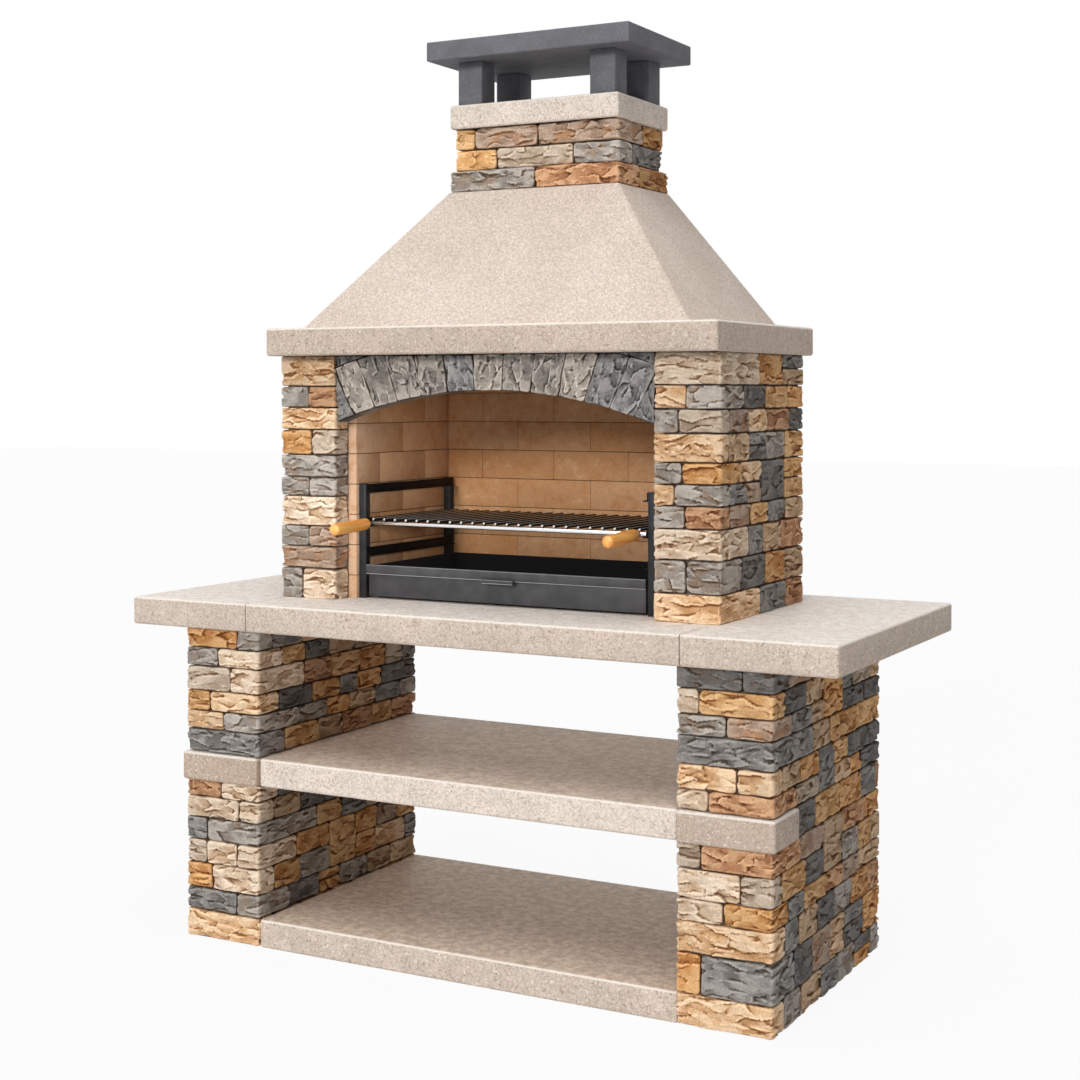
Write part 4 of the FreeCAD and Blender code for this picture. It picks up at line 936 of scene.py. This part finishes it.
def cast_stone(name):
    """Reconstituted stone: brown flecks, hairlines, pits and light specks, smoother on top, with painted
    shade browning shaded tops and a painted highlight along the rounded upper edges.
    """
    s = Shader(name)
    normal = s.add("ShaderNodeSeparateXYZ")
    s.put(normal.inputs[0], s.add("ShaderNodeNewGeometry").outputs["Normal"])
    top = s.ramp(normal.outputs["Z"], 0.6, 0.95)
    colour = s.mix(s.attribute("slab_pale", "Fac"), opaque((188, 169, 152)), opaque((227, 214, 202)))
    colour = s.brighten(colour, s.ramp(s.clouds(11.0, 5.0, 0.6), 0.35, 0.65, 0.94, 1.05))
    mottle = s.ramp(s.clouds(46.0, 6.0, 0.75), 0.34, 0.66)
    smooth = s.mix(mottle, opaque((217, 206, 195)), opaque((242, 235, 228)))
    # the brown top is painted shade, for tops that lie in shade
    brown = s.mix(mottle, opaque((190, 167, 148)), opaque((233, 213, 194)))
    smooth = s.mix(s.attribute("slab_top_painted_shade", "Fac"), smooth, brown)
    colour = s.mix(top, colour, smooth)
    rough = s.ramp(top, 0.0, 1.0, 1.0, 0.60)
    grains = s.clouds(165.0, 4.0, 0.85)
    shade = s.ramp(grains, 0.32, 0.68, -0.15, 0.17)
    colour = s.brighten(colour, s.math("ADD", 1.0, s.math("MULTIPLY", shade, rough)))
    flecks = s.ramp(s.clouds(200.0, 3.0, 0.7), 0.54, 0.64, 0.0, 0.60)
    colour = s.mix(s.math("MULTIPLY", flecks, rough), colour, opaque((160, 133, 109)))
    off_middle = s.math("ABSOLUTE", s.math("SUBTRACT", s.clouds(70.0, 3.0, 0.6), 0.5), 0.0)
    hairlines = s.math("MULTIPLY", s.ramp(off_middle, 0.0, 0.020, 0.70, 0.0),
                       s.ramp(s.clouds(34.0, 3.0, 0.6), 0.47, 0.57))
    colour = s.mix(s.math("MULTIPLY", hairlines, rough), colour, opaque((140, 114, 92)))
    dark = s.ramp(s.clouds(105.0, 4.0, 0.7), 0.60, 0.68, 0.0, 0.85)
    few = s.ramp(s.attribute("slab_pale", "Fac"), 0.3, 1.0, 1.0, 0.5)
    pits = s.math("MULTIPLY", s.math("MULTIPLY", dark, rough), few)
    colour = s.mix(pits, colour, opaque((132, 108, 88)))
    pale = s.ramp(s.clouds(150.0, 3.0, 0.6, s.stretched((1.0, 1.0, 1.3))), 0.58, 0.68, 0.0, 0.6)
    colour = s.mix(s.math("MULTIPLY", pale, rough), colour, opaque((247, 240, 231)))
    # painted highlight along the rounded upper edges
    leaning = s.ramp(normal.outputs["Z"], 0.15, 0.45)
    arris_highlight = s.math("MULTIPLY", leaning, s.ramp(normal.outputs["Z"], 0.75, 0.95, 0.6, 0.0))
    colour = s.mix(arris_highlight, colour, opaque((247, 240, 231)))
    s.bump(s.math("SUBTRACT", s.math("MULTIPLY", grains, 0.6), dark), 0.40, 0.0020)
    return s.done(colour, s.ramp(top, 0.0, 1.0, 0.80, 0.55), gloss=0.2)


def render_coat(name):
    """Sandy render of the hood: fine even grain."""
    s = Shader(name)
    clouds = s.clouds(6.0, 5.0, 0.6)
    colour = s.mix(s.ramp(clouds, 0.35, 0.65), opaque((212, 196, 182)), opaque((219, 204, 191)))
    grain = s.clouds(190.0, 4.0, 0.85)
    colour = s.brighten(colour, s.ramp(grain, 0.30, 0.70, 0.66, 1.28))
    specks = s.ramp(s.clouds(170.0, 2.0, 0.5), 0.62, 0.72, 0.0, 0.5)
    colour = s.mix(specks, colour, opaque((172, 150, 128)))
    s.bump(grain, 0.6, 0.0022)
    return s.done(colour, 0.9, gloss=0.2)


def firebrick(name):
    """Pale fired clay, with thin grey-brown pointing where the chamfers meet, and painted light that
    lightens the side linings and their front ends.
    """
    s = Shader(name)
    # tone: random for each brick, plus painted light on the side linings and their front ends
    tone = s.attribute("brick_tone_and_light", "Fac")
    colour = s.mix(tone, opaque((207, 152, 103)), opaque((216, 180, 148)))
    clouds = s.clouds(30.0, 5.0, 0.7)
    colour = s.mix(s.ramp(clouds, 0.46, 0.70, 0.0, 0.60), colour, opaque((196, 132, 80)))
    colour = s.mix(s.ramp(clouds, 0.28, 0.44, 0.45, 0.0), colour, opaque((236, 196, 156)))
    grain = s.clouds(300.0, 3.0, 0.7)
    colour = s.brighten(colour, s.ramp(grain, 0.3, 0.7, 0.86, 1.08))
    pointing = s.ramp(s.attribute("brick_seam", "Fac"), 0.3, 1.0, 0.0, 0.9)
    colour = s.mix(pointing, colour, opaque((104, 76, 54)))
    s.bump(grain, 0.35, 0.0015)
    return s.done(colour, 0.88, gloss=0.25)


def concrete(name, dark, light):
    s = Shader(name)
    clouds = s.clouds(12.0, 5.0, 0.6)
    colour = s.mix(s.ramp(clouds, 0.15, 0.85), opaque(dark), opaque(light))
    grain = s.clouds(260.0, 3.0, 0.7)
    colour = s.brighten(colour, s.ramp(grain, 0.3, 0.7, 0.82, 1.08))
    s.bump(grain, 0.4, 0.002)
    return s.done(colour, 0.92)


def dark_cast(name):
    """Charcoal cast stone of the cowl, with fine pale grains."""
    s = Shader(name)
    clouds = s.clouds(14.0, 5.0, 0.6)
    colour = s.mix(s.ramp(clouds, 0.3, 0.7), opaque((102, 102, 107)), opaque((116, 115, 121)))
    grain = s.clouds(330.0, 3.0, 0.75)
    colour = s.brighten(colour, s.ramp(grain, 0.3, 0.72, 0.80, 1.14))
    pale = s.ramp(s.clouds(260.0, 2.0, 0.5), 0.63, 0.72, 0.0, 0.4)
    colour = s.mix(pale, colour, opaque((170, 169, 172)))
    s.bump(grain, 0.4, 0.0016)
    return s.done(colour, 0.72, gloss=0.3)


def black_paint(name, dark, light, highlight_and_wear_share=0.0, gloss=0.4):
    """Heat-proof black paint: faint smudges, soot where it is noted, and pale steel on noted edges as a
    painted highlight with wear.
    """
    s = Shader(name)
    smudge = s.clouds(22.0, 5.0, 0.6)
    colour = s.mix(s.ramp(smudge, 0.35, 0.7), opaque(dark), opaque(light))
    soot = s.attribute("soot", "Fac")
    colour = s.mix(soot, colour, opaque((15, 14, 17)))
    # painted highlight with wear on the noted edges
    colour = s.mix(s.math("MULTIPLY", s.attribute("highlight_and_wear", "Fac"), highlight_and_wear_share), colour, opaque((196, 195, 197)))
    grain = s.clouds(700.0, 2.0, 0.5)
    s.bump(grain, 0.12, 0.0006)
    return s.done(colour, s.math("MAXIMUM", s.ramp(smudge, 0.3, 0.7, 0.36, 0.52), soot), gloss=gloss)


def steel(name, dark, light, rough, along):
    """Drawn steel rod: fine lines along its length."""
    s = Shader(name)
    lines = s.clouds(1.0, 3.0, 0.6, s.stretched(along))
    colour = s.mix(s.ramp(lines, 0.3, 0.7), opaque(dark), opaque(light))
    s.bump(lines, 0.08, 0.0004)
    return s.done(colour, s.ramp(lines, 0.3, 0.7, rough, rough + 0.12), 1.0)


def grill_steel(name):
    """Grill bars: dark with soot at the sides, with a painted highlight on top and at the front ends."""
    s = Shader(name)
    normal = s.add("ShaderNodeSeparateXYZ")
    s.put(normal.inputs[0], s.add("ShaderNodeNewGeometry").outputs["Normal"])
    # painted highlight on the tops and front ends, broken up by soot
    painted_highlight = s.ramp(normal.outputs["Z"], 0.55, 0.90)
    painted_highlight = s.math("MAXIMUM", painted_highlight, s.ramp(normal.outputs["Y"], -0.9, -0.5, 1.0, 0.0))
    soot = s.clouds(60.0, 4.0, 0.6)
    painted_highlight = s.math("MULTIPLY", painted_highlight, s.ramp(soot, 0.3, 0.6, 0.7, 1.0))
    colour = s.mix(painted_highlight, opaque((44, 42, 41)), opaque((206, 200, 192)))
    s.bump(soot, 0.1, 0.0005)
    return s.done(colour, s.ramp(painted_highlight, 0.0, 1.0, 0.6, 0.3), 0.6)


def varnished_wood(name):
    s = Shader(name)
    fibres = s.clouds(1.0, 5.0, 0.6, s.stretched((210.0, 9.0, 210.0)))
    rings = s.clouds(1.0, 2.0, 0.5, s.stretched((70.0, 5.0, 70.0)))
    colour = s.mix(s.ramp(rings, 0.35, 0.68), opaque((252, 188, 102)), opaque((240, 161, 76)))
    colour = s.brighten(colour, s.ramp(fibres, 0.3, 0.7, 0.84, 1.08))
    s.bump(fibres, 0.10, 0.0008)
    s.bsdf.inputs["Coat Weight"].default_value = 0.35
    s.bsdf.inputs["Coat Roughness"].default_value = 0.25
    return s.done(colour, s.ramp(fibres, 0.3, 0.7, 0.38, 0.52))


# Dress the part

# the last two values: the colour of the painted shade in creases and the strength of the painted highlight
# on crests
stone = facing_stone("split stone", 0.60, 1.15, (0.42, 0.32, 0.24, 1.0), 1.24)
slate = facing_stone("chiselled slate", 0.12, 0.60, (0.30, 0.28, 0.27, 1.0), 1.55)
cast = cast_stone("reconstituted stone")
coat = render_coat("sandy render")
brick = firebrick("firebrick")
mortar = concrete("mortar", (108, 97, 86), (128, 116, 103))
block = concrete("concrete block", (171, 163, 152), (203, 194, 182))
dark = dark_cast("charcoal cast stone")
black = black_paint("black heat-proof paint", (58, 58, 60), (72, 72, 75))
post_black = black_paint("black post paint", (36, 37, 39), (48, 49, 52), 0.0, 0.25)
# rails darker than the posts: soot and painted shade inside the firebox
rail_black_soot_and_shade = black_paint("sooty_and_shaded black paint", (17, 16, 16), (25, 24, 24), 0.0, 0.08)
bright = steel("bright drawn steel", (232, 232, 234), (248, 248, 249), 0.10, (12.0, 900.0, 900.0))
wire = steel("drawn steel", (92, 91, 89), (134, 132, 129), 0.30, (900.0, 12.0, 900.0))
# the rim's edges get a painted highlight with wear
rim_black = black_paint("black paint with worn edges", (58, 58, 60), (72, 72, 75), 0.8)
bars = grill_steel("grill bars")
wood = varnished_wood("varnished wood")

facing_stones(stone)
chimney_stones(stone)
arch(slate)
firebricks(brick)

LEFT, RIGHT, FRONT, BACK = (0, 0), (0, 1), (1, 0), (1, 1)
core("left_pedestal_core", mortar, (LEFT, RIGHT, FRONT, BACK))
core("right_pedestal_core", mortar, (LEFT, RIGHT, FRONT, BACK))
core("left_pier_core", mortar, (LEFT, FRONT))
core("right_pier_core", mortar, (RIGHT, FRONT))
core("chimney_flue_block", mortar, (LEFT, RIGHT, FRONT, BACK))
eased("rear_wall", "masonry", block, REAR_WALL_EDGE, 1)

# the last value is the painted shade on the top, for the shelves under the worktop
for node, pale, top_painted_shade in (
    ("left_bearer_block", 0.0, 0.0),
    ("right_bearer_block", 0.16, 0.0),
    ("bottom_shelf", 0.48, 1.0),
    ("middle_shelf", 1.0, 0.78),
    ("mantel_slab", 0.34, 0.0),
    ("chimney_cap", 1.0, 0.0),
):
    toned(eased(node, "masonry", cast), pale, top_painted_shade)
worktop(cast)

hood_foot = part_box("hood")[0].z
eased("hood", "masonry", coat, HOOD_EDGE, 3,
      lambda edge: all(vert.co.z < hood_foot + ON_WALL for vert in edge.verts))
eased("cowl_posts", "masonry", dark, COWL_EDGE)
eased("cowl_slab", "masonry", dark)
for side in ("left", "right"):
    eased(side + "_rack_posts", "masonry", post_black, RACK_EDGE)
    eased(side + "_rack_rails", "masonry", rail_black_soot_and_shade, RACK_EDGE)
tray_pan(black)
eased("tray_runners", "tray", black, TRAY_EDGE)
for node in ("tray_front_rim", "tray_pull"):
    eased(node, "tray", rim_black, RIM_EDGE, 2,
          lambda edge: abs(edge.verts[0].co.x - edge.verts[1].co.x) < 0.9 * edge.calc_length())
rods("grill_front_rod", "grill", bright, 0, 0.0015)
rods("grill_rear_rod", "grill", wire, 0, 0.0015)
rods("grill_bars", "grill", bars, 1, 0.0012)
rods("grill_handle_stems", "grill", wire, 1, 0.0008)
eased("grill_handle_ferrules", "grill", black, FERRULE_EDGE)
handles(wood)

# Stage

CAMERA_PLACE = (2.155, -3.9615, 1.379)
CAMERA_TURN = 28.42  # degrees to the left of +Y
CAMERA_TILT = 0.7  # degrees downward
CAMERA_LENS = 59.7
CAMERA_SHIFT = -0.1168
SPOT_PLACE = (0.95, -1.75, 1.30)  # a soft spot that reaches the left lining of the firebox
SPOT_AIM = (-0.416, -0.05, 1.09)
SPOT_POWER = 66.0
SPOT_CONE = 18.0
SPOT_RADIUS = 0.15
SUNS = (  # name, strength, width in degrees, and where the light goes
    ("key", 1.66, 15.0, (0.0, 0.95, -0.31)),
    ("overhead", 1.92, 60.0, (-0.07, 0.24, -1.0)),
    ("rear fill", 0.50, 60.0, (0.0, -1.0, -0.08)),
)
WORLD_LIGHT = 0.18
WHITE = (1.0, 1.0, 1.0, 1.0)
FLOOR_COLOUR = (0.65, 0.65, 0.65, 1.0)
FLOOR_WHITE = 0.92  # share of white in what is seen of the floor, the rest keeps the shadow
FLOOR_REACH = 30.0


def direct_look(tree):
    """1 for what the camera sees itself, or through gloss or glass."""
    path = tree.nodes.new("ShaderNodeLightPath")
    total = path.outputs["Is Camera Ray"]
    for ray in ("Is Glossy Ray", "Is Transmission Ray"):
        most = tree.nodes.new("ShaderNodeMath")
        most.operation = "MAXIMUM"
        tree.links.new(total, most.inputs[0])
        tree.links.new(path.outputs[ray], most.inputs[1])
        total = most.outputs[0]
    return total


def looks_white(tree, lit, kind, output, share):
    """Mixes plain white over a lit shader where it is looked at."""
    white = tree.nodes.new(kind)
    white.inputs["Color"].default_value = WHITE
    white.inputs["Strength"].default_value = 1.0
    seen = tree.nodes.new("ShaderNodeMath")
    seen.operation = "MULTIPLY"
    seen.inputs[1].default_value = share
    tree.links.new(direct_look(tree), seen.inputs[0])
    mix = tree.nodes.new("ShaderNodeMixShader")
    for socket, source in zip(mix.inputs, (seen, lit, white)):
        tree.links.new(source.outputs[0], socket)
    tree.links.new(mix.outputs[0], tree.nodes[output].inputs["Surface"])


def floor():
    shape = bmesh.new()
    bmesh.ops.create_grid(shape, x_segments=1, y_segments=1, size=FLOOR_REACH)
    mesh = bpy.data.meshes.new("floor")
    shape.to_mesh(mesh)
    shape.free()
    obj = bpy.data.objects.new("floor", mesh)
    bpy.context.scene.collection.objects.link(obj)
    material = bpy.data.materials.new("pale floor")
    material.use_nodes = True
    tree = material.node_tree
    bsdf = tree.nodes["Principled BSDF"]
    bsdf.inputs["Base Color"].default_value = FLOOR_COLOUR
    bsdf.inputs["Roughness"].default_value = 0.9
    looks_white(tree, bsdf, "ShaderNodeEmission", "Material Output", FLOOR_WHITE)
    mesh.materials.append(material)


def add_lamp(name, kind, power, towards, place=(0.0, 0.0, 0.0)):
    data = bpy.data.lights.new(name, kind)
    data.energy = power
    obj = bpy.data.objects.new(name, data)
    obj.location = place
    obj.rotation_euler = Vector(towards).to_track_quat("-Z", "Y").to_euler()
    bpy.context.scene.collection.objects.link(obj)
    return obj


def studio():
    scene = bpy.context.scene
    scene.view_settings.view_transform = "Standard"
    scene.world = bpy.data.worlds.new("studio")
    scene.world.use_nodes = True
    tree = scene.world.node_tree
    lit = tree.nodes["Background"]
    lit.inputs["Color"].default_value = WHITE
    lit.inputs["Strength"].default_value = WORLD_LIGHT
    looks_white(tree, lit, "ShaderNodeBackground", "World Output", 1.0)
    for name, power, angle, towards in SUNS:
        sun = add_lamp(name, "SUN", power, towards)
        sun.data.angle = math.radians(angle)
        sun.visible_glossy = name != "rear fill"
    aim = Vector(SPOT_AIM) - Vector(SPOT_PLACE)
    spot = add_lamp("firebox spot", "SPOT", SPOT_POWER, aim, SPOT_PLACE)
    spot.data.spot_size = math.radians(SPOT_CONE)
    spot.data.spot_blend = 1.0
    spot.data.shadow_soft_size = SPOT_RADIUS
    spot.visible_camera = False


def camera():
    scene = bpy.context.scene
    data = bpy.data.cameras.new("camera")
    data.lens = CAMERA_LENS
    data.sensor_width = 36.0
    data.shift_y = CAMERA_SHIFT
    obj = bpy.data.objects.new("camera", data)
    obj.location = CAMERA_PLACE
    obj.rotation_euler = (math.radians(90.0 - CAMERA_TILT), 0.0, math.radians(CAMERA_TURN))
    scene.collection.objects.link(obj)
    scene.camera = obj


floor()
studio()
camera()
